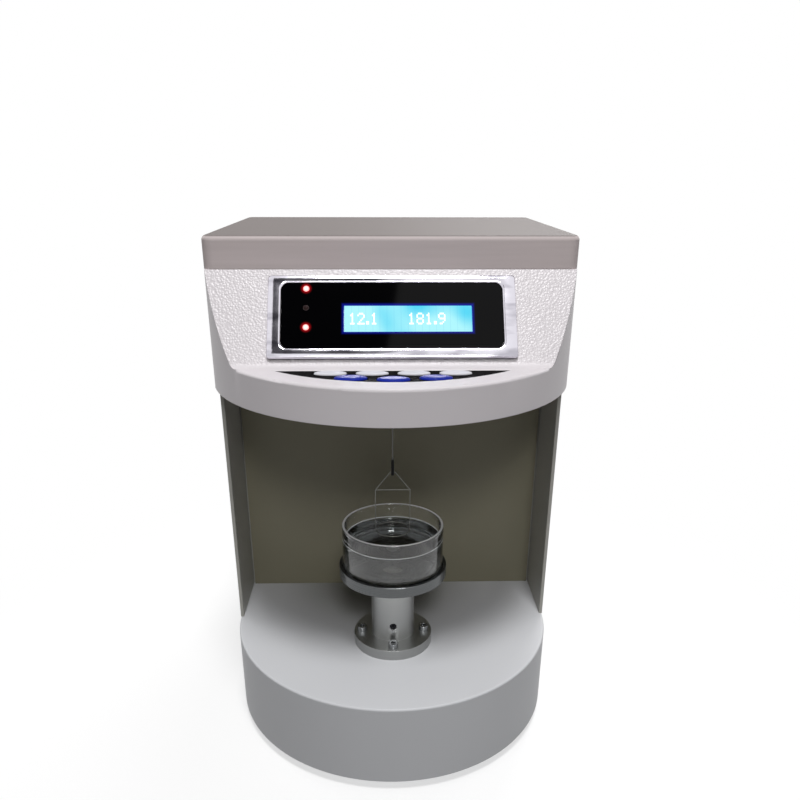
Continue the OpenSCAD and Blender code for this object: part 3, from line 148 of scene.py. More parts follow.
@dataclass(frozen=True)
class Skin:
    """A material in the making.

    Attributes:
        tree: its node tree.
        surface: its principled shader.
        place: output with the object's own coordinates, in metres.
    """

    tree: NodeTree
    surface: Node
    place: Link

    def feed(self, source: Link, name: str) -> None:
        """Links an output to the surface's input of that name."""
        self.tree.links.new(socket(source[0].outputs, source[1]), self.surface.inputs[name])

    def tint(self, name: str, ground: str, *layers: tuple[Link, str]) -> None:
        """Lays colours over one another and feeds the result to the surface.

        Args:
            name: the surface's input.
            ground: sRGB colour under all layers.
            layers: for each layer, the output that gives its share, and its sRGB colour.
        """
        below: dict[str, Link] = {}
        for share, colour in layers:
            values = {"data_type": "RGBA", "A_Color": linear(ground), "B_Color": linear(colour)}
            mixed = add_node(self.tree, "Mix", values, {"Factor_Float": share, **below})
            below = {"A_Color": (mixed, "Result_Color")}
        self.feed(below["A_Color"], name)

    def gloss(self, pattern: Link, low: float, high: float, start: float = 0.3, stop: float = 0.7) -> None:
        """Lets the surface's roughness follow a pattern.

        Args:
            pattern: output that gives the pattern.
            low: roughness where the pattern is start or less.
            high: roughness where it is stop or more.
            start: value of the pattern at the low roughness.
            stop: value of the pattern at the high roughness.
        """
        spread = add_node(self.tree, "MapRange", {"From Min": start, "From Max": stop, "To Min": low,
                                                  "To Max": high}, {"Value": pattern})
        self.feed((spread, "Result"), "Roughness")

    def emboss(self, height: Link, depth: float, strength: float = 1.0, edge: float = 0.0) -> None:
        """Feeds a height pattern into the surface's normal.

        Args:
            height: output that gives the height from 0 to 1.
            depth: height of the pattern in millimetres.
            strength: share of the pattern that shows.
            edge: radius in millimetres by which sharp edges look rounded.
        """
        links = {"Height": height}
        if edge > 0:
            links["Normal"] = (add_node(self.tree, "Bevel", {"samples": 4, "Radius": edge * MM}), "Normal")
        bump = add_node(self.tree, "Bump", {"Strength": strength, "Distance": depth * MM}, links)
        self.feed((bump, "Normal"), "Normal")

    def grain(self, scale: float, detail: float, depth: float, strength: float = 0.5, edge: float = 0.0,
              stretch: Sequence[float] = (1.0, 1.0, 1.0)) -> Link:
        """Embosses the surface with an irregular grain.

        Args:
            scale: cells in a metre.
            detail: steps of finer cells within them.
            depth: height of the grain in millimetres.
            strength: share of it that shows.
            edge: radius in millimetres by which sharp edges look rounded.
            stretch: factor on the scale along X, Y and Z.

        Returns:
            Output that gives the grain from 0 to 1.
        """
        drawn = add_node(self.tree, "Mapping", {"Scale": stretch}, {"Vector": self.place})
        noise = add_node(self.tree, "TexNoise", {"Scale": scale, "Detail": detail}, {"Vector": (drawn, "Vector")})
        self.emboss((noise, "Fac"), depth, strength, edge)
        return noise, "Fac"

    def by_height(self, low: float, high: float, start: float = 0.0, stop: float = 1.0) -> Link:
        """Makes a share that changes with the height.

        Args:
            low: height up to which the share is start.
            high: height from which it is stop.
            start: share below.
            stop: share above.

        Returns:
            Output that gives the share.
        """
        parts = add_node(self.tree, "SeparateXYZ", {}, {"Vector": self.place})
        share = add_node(self.tree, "MapRange", {"From Min": low * MM, "From Max": high * MM, "To Min": start,
                                                 "To Max": stop}, {"Value": (parts, "Z")})
        return share, "Result"

    def halo(self, point: Point, inner: float, outer: float, curve: str = "LINEAR") -> Link:
        """Makes a share that fades with the distance from a point.

        Args:
            point: the point it spreads from.
            inner: radius up to which the share is 1.
            outer: radius from which it is 0.
            curve: how it fades between them.

        Returns:
            Output that gives the share.
        """
        away = add_node(self.tree, "VectorMath", {"operation": "DISTANCE", "Vector_001": metres(point)},
                        {"Vector": self.place})
        share = add_node(self.tree, "MapRange", {"interpolation_type": curve, "From Min": inner * MM,
                                                 "From Max": outer * MM, "To Min": 1.0, "To Max": 0.0},
                         {"Value": (away, "Value")})
        return share, "Result"

    def along(self, point: Point, direction: Point) -> Link:
        """Makes the distance from a point along a direction.

        Args:
            point: the point it is measured from.
            direction: the direction, of length 1.

        Returns:
            Output that gives the distance in metres.
        """
        offset = add_node(self.tree, "VectorMath", {"operation": "SUBTRACT", "Vector_001": metres(point)},
                          {"Vector": self.place})
        reach = add_node(self.tree, "VectorMath", {"operation": "DOT_PRODUCT", "Vector_001": direction},
                         {"Vector": (offset, "Vector")})
        return reach, "Value"


@dataclass(frozen=True)
class Finish(ABC):
    """Look of one real surface: its colour and gloss, and the pattern that its making leaves.

    Attributes:
        name: name of the material.
        colour: base colour.
        roughness: from 0 for a mirror to 1 for chalk.
        metallic: 1 for bare metal.
        specular: share of the usual reflection, 0.5 when plain.
    """

    name: str
    colour: str
    roughness: float
    metallic: float = 0.0
    specular: float = 0.5

    def material(self) -> Material:
        """Returns the finish's material, made on first use."""
        return bpy.data.materials.get(self.name) or self.build()

    def build(self) -> Material:
        """Makes the material: one principled surface, then the finish's own pattern.

        Returns:
            The new material.
        """
        made = new_material(self.name, self.colour, self.roughness)
        tree = made.node_tree
        surface = tree.nodes["Principled BSDF"]
        surface.inputs["Metallic"].default_value = self.metallic
        surface.inputs["Specular IOR Level"].default_value = self.specular
        self.dress(Skin(tree, surface, (add_node(tree, "TexCoord"), "Object")))
        return made

    @abstractmethod
    def dress(self, skin: Skin) -> None:
        """Adds the finish's pattern.

        Args:
            skin: the material in the making.
        """


@dataclass(frozen=True)
class PowderCoat(Finish):
    """Baked powder paint on sheet steel: even colour under a faint orange peel.

    The peel's real period is about 0.8 mm, and it is drawn at peel so that it shows from a step away.

    Attributes:
        shade: darker colour it drifts to.
        peel: period of the orange peel.
        depth: its depth.
        edge: rounding of a folded edge.
        drift: drifts of tone in a metre.
    """

    shade: str = "#BDBEC2"
    peel: float = 1.6
    depth: float = 0.02
    edge: float = 0.5
    drift: float = 9.0

    def tones(self, skin: Skin) -> list[tuple[Link, str]]:
        """Returns the colours that lie over the shade, here a slow drift of tone."""
        drift = add_node(skin.tree, "TexNoise", {"Scale": self.drift, "Detail": 3.0}, {"Vector": skin.place})
        return [((drift, "Fac"), self.colour)]

    def dress(self, skin: Skin) -> None:
        """Adds the tones and the orange peel."""
        skin.tint("Base Color", self.shade, *self.tones(skin))
        skin.grain(1 / (self.peel * MM), 1.5, self.depth, 0.5, self.edge)


@dataclass(frozen=True)
class CasingPaint(PowderCoat):
    """Powder paint of the base, with painted shade darkening the sample bay's floor where it meets the middle of
    its back panel.

    Attributes:
        painted_shade: colour of the painted shade.
        middle: point it spreads from.
        spread: radii between which it fades.
        top: heights between which the upper face sets in, which alone gets the painted shade.
    """

    # Colour of the painted shade round the foot of the bay's back panel.
    painted_shade: str = "#6C6C66"
    middle: Point = (-10.0, 16.0, 54.5)
    spread: Pair = (10.0, 78.0)
    top: Pair = (54.2, 54.4)

    def tones(self, skin: Skin) -> list[tuple[Link, str]]:
        """Adds the patch of painted shade over the drift of tone."""
        # painted shade: a soft dark patch on the bay's floor round the foot of its back panel
        near = skin.halo(self.middle, *self.spread, "SMOOTHSTEP")
        where = add_node(skin.tree, "Math", {"operation": "MULTIPLY"},
                         {"Value": near, "Value_001": skin.by_height(*self.top)})
        return [*super().tones(skin), ((where, "Value"), self.painted_shade)]


@dataclass(frozen=True)
class LidPaint(PowderCoat):
    """Satin paint of the lid, with its flat top painted darker than the upright front as painted shade.

    Attributes:
        painted_shade_heights: heights between which the flat top sets in.
        top: colour of the painted shade on the flat top.
        wiping: marks in a metre, along X, Y and Z.
    """

    painted_shade_heights: Pair = (281.2, 281.9)
    # Colour of the painted shade that darkens the flat top.
    top: str = "#68615F"
    wiping: Point = (12.0, 160.0, 300.0)

    def dress(self, skin: Skin) -> None:
        """Adds faint wiping marks across the lid, and the painted shade on its flat top."""
        marks = skin.grain(1.0, 2.0, self.depth, 0.5, self.edge, self.wiping)
        skin.tint("Base Color", self.shade, (marks, self.colour), (skin.by_height(*self.painted_shade_heights), self.top))


@dataclass(frozen=True)
class HeadMoulding(Finish):
    """Painted head moulding: wrinkle lacquer on the display panel, smooth paint on the lip and the sides.

    Wrinkle lacquer shrivels into rounded pebbles about a millimetre wide.

    Attributes:
        shade: colour painted into the valleys as painted shade.
        pebble: mean width of a pebble.
        depth: its height.
        edge: rounding of sharp edges.
        panel_gloss: roughness of the pebbles.
        reach: distances from the panel between which they fade out.
        ledge: heights between which they set in, above the lip.
        grain: cells of the fine grain in a metre.
        grain_share: its height, as a share of a pebble's.
    """

    # Colour painted into the valleys as painted shade.
    shade: str = "#CAC5C8"
    pebble: float = 1.15
    depth: float = 0.2
    edge: float = 0.4
    panel_gloss: float = 0.34
    reach: Pair = (0.3, 0.9)
    ledge: Pair = (222.5, 224.0)
    grain: float = 700.0
    grain_share: float = 0.1

    def pebbles(self, skin: Skin) -> Link:
        """Makes the pebbles' height, from 0 in a valley to 1 on top.

        Args:
            skin: the material in the making.

        Returns:
            Output that gives the height.
        """
        size = self.pebble * MM
        wander = add_node(skin.tree, "TexNoise", {"Scale": 0.6 / size, "Detail": 2.0}, {"Vector": skin.place})
        pushed = add_node(skin.tree, "VectorMath", {"operation": "MULTIPLY_ADD", "Vector_001": (0.5 * size,) * 3},
                          {"Vector": (wander, "Color"), "Vector_002": skin.place})
        cells = add_node(skin.tree, "TexVoronoi", {"feature": "SMOOTH_F1", "Scale": 1 / size, "Smoothness": 0.6},
                         {"Vector": (pushed, "Vector")})
        height = add_node(skin.tree, "MapRange", {"From Max": 0.75, "To Min": 1.0, "To Max": 0.0},
                          {"Value": (cells, "Distance")})
        return height, "Result"

    def dress(self, skin: Skin) -> None:
        """Keeps the pebbles to the plane of the display panel."""
        tree = skin.tree
        near = add_node(tree, "Math", {"operation": "ABSOLUTE"}, {"Value": skin.along(PANEL_MIDDLE, OUT_OF_PANEL)})
        on_panel = add_node(tree, "MapRange", {"From Min": self.reach[0] * MM, "From Max": self.reach[1] * MM,
                                               "To Min": 1.0, "To Max": 0.0}, {"Value": (near, "Value")})
        shown = add_node(tree, "Math", {"operation": "MULTIPLY"},
                         {"Value": (on_panel, "Result"), "Value_001": skin.by_height(*self.ledge)})
        kept = add_node(tree, "Math", {"operation": "MULTIPLY"},
                        {"Value": self.pebbles(skin), "Value_001": (shown, "Value")})
        fine = add_node(tree, "TexNoise", {"Scale": self.grain, "Detail": 2.0}, {"Vector": skin.place})
        both = add_node(tree, "Math", {"operation": "MULTIPLY_ADD", "Value_001": self.grain_share},
                        {"Value": (fine, "Fac"), "Value_002": (kept, "Value")})
        # painted shade: the valleys between the pebbles are tinted darker.
        valley = add_node(tree, "Math", {"operation": "SUBTRACT", "Value": 1.0}, {"Value_001": (kept, "Value")})
        valley_painted_shade = add_node(tree, "Math", {"operation": "MULTIPLY"},
                          {"Value": (valley, "Value"), "Value_001": (shown, "Value")})
        skin.gloss((shown, "Value"), self.roughness, self.panel_gloss, 0.0, 1.0)
        skin.tint("Base Color", self.colour, ((valley_painted_shade, "Value"), self.shade))
        skin.emboss((both, "Value"), self.depth, 1.0, self.edge)


@dataclass(frozen=True)
class BrushedCoat(Finish):
    """Brushed or drawn surface: fine straight hairlines along one axis.

    Real hairlines are about 0.05 mm apart, and they are drawn at pitch so that they show.

    Attributes:
        along: axis of the hairlines, 0 for X, 1 for Y and 2 for Z.
        pitch: distance between them.
        depth: their depth.
        streak: swing of the roughness from line to line.
        length: share by which lines are drawn out along the axis.
        edge: rounding of sharp edges.
    """

    along: int = 0
    pitch: float = 0.35
    depth: float = 0.01
    streak: float = 0.12
    length: float = 0.012
    edge: float = 0.3

    def dress(self, skin: Skin) -> None:
        """Adds the hairlines to the normal and the roughness."""
        stretch = [1 / (self.pitch * MM)] * 3
        stretch[self.along] *= self.length
        lines = skin.grain(1.0, 2.0, self.depth, 0.5, self.edge, stretch)
        skin.gloss(lines, self.roughness - self.streak / 2, self.roughness + self.streak / 2)


@dataclass(frozen=True)
class TurnedMetal(Finish):
    """Lathe-turned metal: fine rings round the stage's axis, on its faces and its sides.

    The feed marks are really about 0.1 mm apart, and they are drawn at feed so that they show.

    Attributes:
        feed: distance between tool marks.
        depth: their depth.
        swing: how far the roughness falls and rises from ring to ring.
    """

    feed: float = 0.45
    depth: float = 0.008
    swing: Pair = (0.05, 0.08)

    def dress(self, skin: Skin) -> None:
        """Adds rings by the distance from the axis and by the height."""
        tree = skin.tree
        centred = add_node(tree, "Mapping", {"Location": (-STAGE_AXIS[0] * MM, -STAGE_AXIS[1] * MM, 0.0)},
                           {"Vector": skin.place})
        flat = add_node(tree, "VectorMath", {"operation": "MULTIPLY", "Vector_001": (1.0, 1.0, 0.0)},
                        {"Vector": (centred, "Vector")})
        out = add_node(tree, "VectorMath", {"operation": "LENGTH"}, {"Vector": (flat, "Vector")})
        parts = add_node(tree, "SeparateXYZ", {}, {"Vector": (centred, "Vector")})
        both = add_node(tree, "Math", {"operation": "ADD"}, {"Value": (out, "Value"), "Value_001": (parts, "Z")})
        wide = add_node(tree, "Math", {"operation": "MULTIPLY", "Value_001": 1 / (self.feed * MM)},
                        {"Value": (both, "Value")})
        line = add_node(tree, "TexNoise", {"noise_dimensions": "1D", "Scale": 1.0, "Detail": 1.0,
                                           "Roughness": 0.3}, {"W": (wide, "Value")})
        skin.gloss((line, "Fac"), self.roughness - self.swing[0], self.roughness + self.swing[1])
        skin.emboss((line, "Fac"), self.depth, 0.6, 0.25)


@dataclass(frozen=True)
class Moulded(Finish):
    """Injection-moulded plastic or rubber: spark-eroded grain, finer and flatter the glossier it is.

    Attributes:
        grain: width of the grain.
        depth: its depth.
    """

    grain: float = 0.5
    depth: float = 0.02

    def dress(self, skin: Skin) -> None:
        """Adds the tool's grain."""
        skin.grain(1 / (self.grain * MM), 3.0, self.depth, 0.5, 0.3)


@dataclass(frozen=True)
class LacqueredWire(Finish):
    """Steel wire whose hook end is dipped in black lacquer.

    Attributes:
        wire: colour of the bare wire, painted darker than bare steel as painted dark reflection.
        dip: heights between which the lacquer thins out.
    """

    # painted dark reflection: the bare wire is darker than steel.
    wire: str = "#4E4E4B"
    dip: Pair = (168.6, 169.2)

    def dress(self, skin: Skin) -> None:
        """Blends from lacquer to bare wire by height."""
        bare = skin.by_height(*self.dip)
        skin.tint("Base Color", self.colour, (bare, self.wire))
        skin.feed(bare, "Metallic")
        skin.grain(900.0, 1.0, 0.01, 0.4)


@dataclass(frozen=True)
class ChromePlate(Finish):
    """Chrome plate on a moulded bezel: a mirror with the slow waves of the plastic under it.

    Attributes:
        painted_dark_reflection: darker colour in the troughs of the waves, a painted dark reflection.
        edge: colour of the painted shade at the foot of the wall.
        foot: heights above the panel between which the painted shade gives way to the plate.
        wave: length of the waves.
        depth: their height.
        long: factor on the waves along X, Y and Z.
        reflection_fade: share of a wave's height between which the painted dark reflection gives way to the plate's
            full colour.
        haze: how much rougher the crests are.
    """

    painted_dark_reflection: str = "#BDBAC4"
    edge: str = "#3B3942"
    foot: Pair = (1.2, 1.6)
    wave: float = 7.0
    depth: float = 0.035
    long: Point = (0.35, 1.0, 1.0)
    reflection_fade: Pair = (0.36, 0.5)
    haze: float = 0.06

    def dress(self, skin: Skin) -> None:
        """Adds the slow waves with painted dark reflections in their troughs, a breath of haze and painted shade at
        the foot of the wall.
        """
        tree = skin.tree
        waves = skin.grain(1 / (self.wave * MM), 2.5, self.depth, 0.6, stretch=self.long)
        # painted reflection: the troughs of the waves take the darker colour, the crests the plate's own.
        bright = add_node(tree, "MapRange", {"From Min": self.reflection_fade[0], "From Max": self.reflection_fade[1]}, {"Value": waves})
        # painted shade: the wall's foot, next to the panel, turns dark.
        low = add_node(tree, "MapRange", {"From Min": self.foot[0] * MM, "From Max": self.foot[1] * MM,
                                          "To Min": 1.0, "To Max": 0.0},
                       {"Value": skin.along(PANEL_MIDDLE, OUT_OF_PANEL)})
        skin.tint("Base Color", self.painted_dark_reflection, ((bright, "Result"), self.colour), ((low, "Result"), self.edge))
        skin.gloss(waves, self.roughness, self.roughness + self.haze, 0.35, 0.75)


@dataclass(frozen=True)
class BlackAcrylic(Finish):
    """Black-backed acrylic window: a dark mirror, with a painted glow of the lamps' and the display's light round
    them.

    Attributes:
        lamps: centres of the two lit lamps.
        glow: radii between which the painted glow round them fades.
        red: colour of the painted glow round them.
        display: centre of the display.
        half: half its width and half its height.
        spread: how far the painted glow round it reaches.
        blue: colour of the painted glow round it.
    """

    lamps: tuple[Point, Point] = (PANEL_MIDDLE, PANEL_MIDDLE)
    glow: Pair = (1.0, 3.4)
    red: str = "#B01018"
    display: Point = (8.0, -50.6, 242.7)
    half: Pair = (32.25, 7.0)
    spread: float = 1.8
    blue: str = "#101C98"

    def dress(self, skin: Skin) -> None:
        """Adds a painted glow round the lamps and the display, and a polish that isn't quite flat."""
        # painted light: the window glows by itself round the lamps and the display.
        rings = [skin.halo(lamp, *self.glow, "SMOOTHERSTEP") for lamp in self.lamps]
        both = add_node(skin.tree, "Math", {"operation": "ADD"}, {"Value": rings[0], "Value_001": rings[1]})
        skin.tint("Emission Color", "#000000", ((both, "Value"), self.red), (self.painted_display_glow(skin), self.blue))
        skin.surface.inputs["Emission Strength"].default_value = 1.0
        skin.grain(60.0, 1.0, 0.01, 0.4)

    def painted_display_glow(self, skin: Skin) -> Link:
        """Makes the share of the painted glow round the display's edge.

        Args:
            skin: the material in the making.

        Returns:
            Output that gives the share, 1 at the edge.
        """
        tree = skin.tree
        past: list[Link] = []
        for direction, half in ((ACROSS, self.half[0]), (UP_PANEL, self.half[1])):
            size = add_node(tree, "Math", {"operation": "ABSOLUTE"}, {"Value": skin.along(self.display, direction)})
            past.append((add_node(tree, "Math", {"operation": "SUBTRACT", "Value_001": half * MM},
                                  {"Value": (size, "Value")}), "Value"))
        out = add_node(tree, "Math", {"operation": "MAXIMUM"}, {"Value": past[0], "Value_001": past[1]})
        near = add_node(tree, "MapRange", {"interpolation_type": "SMOOTHSTEP", "From Max": self.spread * MM,
                                           "To Min": 1.0, "To Max": 0.0}, {"Value": (out, "Value")})
        return near, "Result"


@dataclass(frozen=True)
class BacklitDisplay(Finish):
    """Blue backlit character display: bright towards its edge lamps, with the cells just showing.

    Attributes:
        bright: colour near the edge lamps.
        middle: a point in the gap between two cells.
        cell: half the width of a cell.
        gap: distances from a gap's middle between which it fades, its strength and its colour.
        blotch: bright patches in a metre, and the share of noise between which they set in.
        unlit: colour of the display without its light.
        strength: brightness.
    """

    bright: str = "#A6EEF4"
    middle: Point = (8.0, -49.4, 242.0)
    cell: float = 1.78
    gap: tuple[float, float, float, str] = (0.1, 0.3, 0.12, "#3AA0D8")
    blotch: Point = (48.0, 0.36, 0.66)
    unlit: str = "#04141C"
    strength: float = 1.05

    def dress(self, skin: Skin) -> None:
        """Adds the backlight's uneven glow and the grid of character cells."""
        tree = skin.tree
        scale, start, stop = self.blotch
        drift = add_node(tree, "TexNoise", {"Scale": scale, "Detail": 0.5}, {"Vector": skin.place})
        level = add_node(tree, "MapRange", {"interpolation_type": "SMOOTHSTEP", "From Min": start,
                                            "From Max": stop}, {"Value": (drift, "Fac")})
        inner, outer, share, tone = self.gap
        cell = add_node(tree, "Math", {"operation": "PINGPONG", "Value_001": self.cell * MM},
                        {"Value": skin.along(self.middle, ACROSS)})
        gap = add_node(tree, "MapRange", {"From Min": inner * MM, "From Max": outer * MM, "To Min": share,
                                          "To Max": 0.0}, {"Value": (cell, "Value")})
        skin.tint("Emission Color", self.colour, ((level, "Result"), self.bright), ((gap, "Result"), tone))
        skin.surface.inputs["Emission Strength"].default_value = self.strength
        skin.surface.inputs["Base Color"].default_value = linear(self.unlit)


@dataclass(frozen=True)
class Lamp(Finish):
    """Round indicator lamp in diffused red epoxy, lit with a hot core or dark.

    Attributes:
        centre: middle of the lens.
        lit: whether it is on.
        core: radii between which the hot core fades to the rim's red.
        tones: colours of the rim and the core.
        strength: brightness.
    """

    centre: Point = (0.0, 0.0, 0.0)
    lit: bool = True
    core: Pair = (0.525, 2.025)
    tones: tuple[str, str] = ("#F01C1C", "#FFE9E4")
    strength: float = 1.6

    def dress(self, skin: Skin) -> None:
        """Adds the glow, whitest at the core."""
        core = skin.halo(self.centre, *self.core)
        if self.lit:
            skin.tint("Emission Color", self.tones[0], (core, self.tones[1]))
            skin.surface.inputs["Emission Strength"].default_value = self.strength
        skin.emboss(core, 0.01, 0.3)


@dataclass(frozen=True)
class Clear(Finish):
    """Clear body that light passes through, such as laboratory glass or water.

    Attributes:
        rim: heights between which the rim turns milky, where it scatters light.
        milky: share of light that still passes through the rim.
        ior: index of refraction.
        ripple: height of the unevenness.
    """

    rim: Pair = (130.25, 130.7)
    milky: float = 0.3
    ior: float = 1.47
    ripple: float = 0.01

    def dress(self, skin: Skin) -> None:
        """Lets light through, less so along the rim, with faint waves."""
        skin.surface.inputs["Transmission Weight"].default_value = 1.0
        skin.surface.inputs["IOR"].default_value = self.ior
        skin.feed(skin.by_height(*self.rim, 1.0, self.milky), "Transmission Weight")
        skin.grain(70.0, 1.0, self.ripple)


@dataclass(frozen=True)
class Laminate(Finish):
    """Circuit board: green solder mask over copper tracks, drawn 1.2 mm wide.

    Attributes:
        track: colour of the mask over copper.
    """

    track: str = "#1E6B3F"

    def dress(self, skin: Skin) -> None:
        """Adds the tracks as bricks with wide joints."""
        mask = linear(self.colour)
        bricks = add_node(skin.tree, "TexBrick", {"Color1": linear(self.track), "Color2": mask, "Mortar": mask,
                                                  "Scale": 120.0, "Mortar Size": 0.06, "Brick Width": 1.7},
                          {"Vector": skin.place})
        skin.feed((bricks, "Color"), "Base Color")
        skin.emboss((bricks, "Fac"), 0.05, 0.5)


@dataclass(frozen=True)
class Laminations(Finish):
    """Transformer core: varnished steel sheets, drawn 1 mm thick, round a wound coil."""

    def dress(self, skin: Skin) -> None:
        """Adds the sheets as lines along Y."""
        sheets = add_node(skin.tree, "TexWave", {"bands_direction": "Y", "Scale": 314.0, "Distortion": 0.3},
                          {"Vector": skin.place})
        skin.emboss((sheets, "Fac"), 0.15, 0.7)


# ---- palette ----

CASING = CasingPaint("casing_powder_coat", "#C9CACD", 0.5, shade="#BFC0C3", specular=0.3)
SHEET = PowderCoat("column_powder_coat", "#AAA9A3", 0.45, shade="#9E9D97", specular=0.3)
# The bay's back panel shares the column's paint slot, but is painted darker and more olive as painted shade under
# the head.
BAY_SHADED_PAINT = PowderCoat("bay_panel_painted_shade", "#86826F", 0.42, shade="#7B7765", peel=1.1, depth=0.03, specular=0.3)
HEAD_PAINT = HeadMoulding("head_moulding_paint", "#D1CCCF", 0.42, specular=0.4)
LID_PAINT = LidPaint("lid_satin_paint", "#C9BEBE", 0.5, shade="#B9AFAE", depth=0.015, edge=0.8, specular=0.06)
CHROME = ChromePlate("chrome_plate", "#E2DFE8", 0.06, 1.0)
DISPLAY = BacklitDisplay("display_backlight", "#3CCDEC", 0.3, specular=0.1)
DIGITS = BacklitDisplay("display_digits", "#E8FFFF", 0.3, bright="#FFFFFF", specular=0.1, strength=1.6)
KEYPAD = Moulded("keypad_gloss", "#030303", 0.5, depth=0.004, specular=0.01)
PRINT = Moulded("printed_white", "#DADADA", 0.5, depth=0.004)
KEY_WHITE = Moulded("key_cap_white", "#D2D2D8", 0.3, depth=0.006, specular=0.15)
KEY_BLUE = Moulded("key_cap_blue", "#16268C", 0.3, depth=0.006, specular=0.06)
RUBBER = Moulded("foot_rubber", "#161616", 0.8, grain=0.9, depth=0.05, specular=0.3)
BLACK_PLASTIC = Moulded("black_nylon", "#141416", 0.5, grain=0.7, depth=0.03, specular=0.3)
STEEL = BrushedCoat("brushed_steel", "#A4A5A8", 0.32, 1.0)
ZINC = BrushedCoat("zinc_plate", "#A1A5AA", 0.38, 1.0, along=1, pitch=0.5)
BLACK_SCREW = TurnedMetal("black_oxide", "#26262A", 0.42, 0.85, feed=0.6)
FLANGE_METAL = TurnedMetal("turned_flange", "#A1A2A1", 0.34, 0.95)
# The tray shares the pedestal's aluminium slot, but is painted darker as painted shade and painted dark reflection.
TRAY_SHADED_METAL = TurnedMetal("turned_tray_painted_shade", "#5C5E5F", 0.26, 0.95)
CAP_SCREW = BrushedCoat("cap_screw_zinc", "#8E9092", 0.25, 1.0, along=2, pitch=0.5)
BRONZE = TurnedMetal("turned_bronze", "#9C7443", 0.4, 1.0)
BRASS = TurnedMetal("turned_brass", "#C8A45A", 0.35, 1.0)
GLASS = Clear("laboratory_glass", "#FFFFFF", 0.0)
WATER = Clear("water", "#F7FBFC", 0.0, rim=(122.05, 122.5), ior=1.33, ripple=0.02)
BOARD = Laminate("board_laminate", "#14512F", 0.45)
CORE = Laminations("transformer_core", "#4A4038", 0.5)
HOOK_BLACK = LacqueredWire("hook_lacquer", "#060607", 0.45, specular=0.1)
# The ring's platinum is painted far darker than the bright metal, as painted dark reflection.
RING_WIRE_PAINTED_DARK = BrushedCoat("platinum_wire_painted_dark", "#6A6A66", 0.32, 1.0, along=2, pitch=0.2)


# ---- modelling ----


class Body(str, Enum):
    """Moving bodies of the instrument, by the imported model's names."""

    FRAME = "frame"
    LID = "lid"
    ROCKER = "rocker"
    HANGER = "hanger"
    RING = "ring"
    STAGE = "stage"
    DISH = "dish"


def start_clean() -> None:
    """Leaves edit mode and deselects everything, so that the next step touches only its own piece."""
    if bpy.context.object is not None and bpy.context.object.mode != "OBJECT":
        bpy.ops.object.mode_set(mode="OBJECT")
    bpy.ops.object.select_all(action="DESELECT")


def take_up(piece: Object) -> None:
    """Makes one piece the only selected one, and the active one.

    Args:
        piece: the piece to work on.
    """
    start_clean()
    piece.select_set(True)
    bpy.context.view_layer.objects.active = piece


@contextmanager
def edit_mode() -> Iterator[None]:
    """Goes into edit mode with all of the active piece selected, and back to object mode at the end."""
    bpy.ops.object.mode_set(mode="EDIT")
    bpy.ops.mesh.select_all(action="SELECT")
    yield
    bpy.ops.object.mode_set(mode="OBJECT")


def scale_to(size: Sequence[float], middle: Point = (0.0, 0.0, 0.0)) -> None:
    """Scales what is selected in edit mode about a point.

    Args:
        size: factor along X, Y and Z.
        middle: the point, in metres.
    """
    bpy.ops.transform.resize(value=size, center_override=middle)


def own_copy(piece: Object) -> Object:
    """Copies a piece, with a mesh of its own.

    Args:
        piece: the piece.

    Returns:
        The copy.
    """
    twin = piece.copy()
    twin.data = piece.data.copy()
    bpy.context.collection.objects.link(twin)
    return twin


def apply_modifier(piece: Object, kind: str, **settings: object) -> None:
    """Adds a modifier to the piece and applies it.

    Args:
        piece: the piece, which becomes the active one.
        kind: the modifier's type.
        settings: the modifier's settings.
    """
    take_up(piece)
    modifier = piece.modifiers.new(kind.title(), kind)
    for key, value in settings.items():
        setattr(modifier, key, value)
    bpy.ops.object.modifier_apply(modifier=modifier.name)


def settle(piece: Object, name: str, body: str, finish: Finish, stands_for: Sequence[str] = (),
           smooth: float = 35.0) -> None:
    """Finishes a piece: applied place, outward normals, smooth shading, finish and body.

    Args:
        piece: the modelled piece.
        name: its name.
        body: the body it moves with.
        finish: its finish.
        stands_for: CAD nodes that it replaces.
        smooth: largest angle in degrees that is shaded smooth.
    """
    take_up(piece)
    bpy.ops.object.transform_apply(location=True, rotation=True, scale=True)
    with edit_mode():
        bpy.ops.mesh.normals_make_consistent(inside=False)
    bpy.ops.object.shade_smooth_by_angle(angle=math.radians(smooth))
    piece.name = piece.data.name = name
    piece.data.materials.clear()
    piece.data.materials.append(finish.material())
    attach(piece, body)
    if stands_for:
        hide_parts(*stands_for)
    LOG.info("piece %s: %d faces on %s", name, len(piece.data.polygons), body)


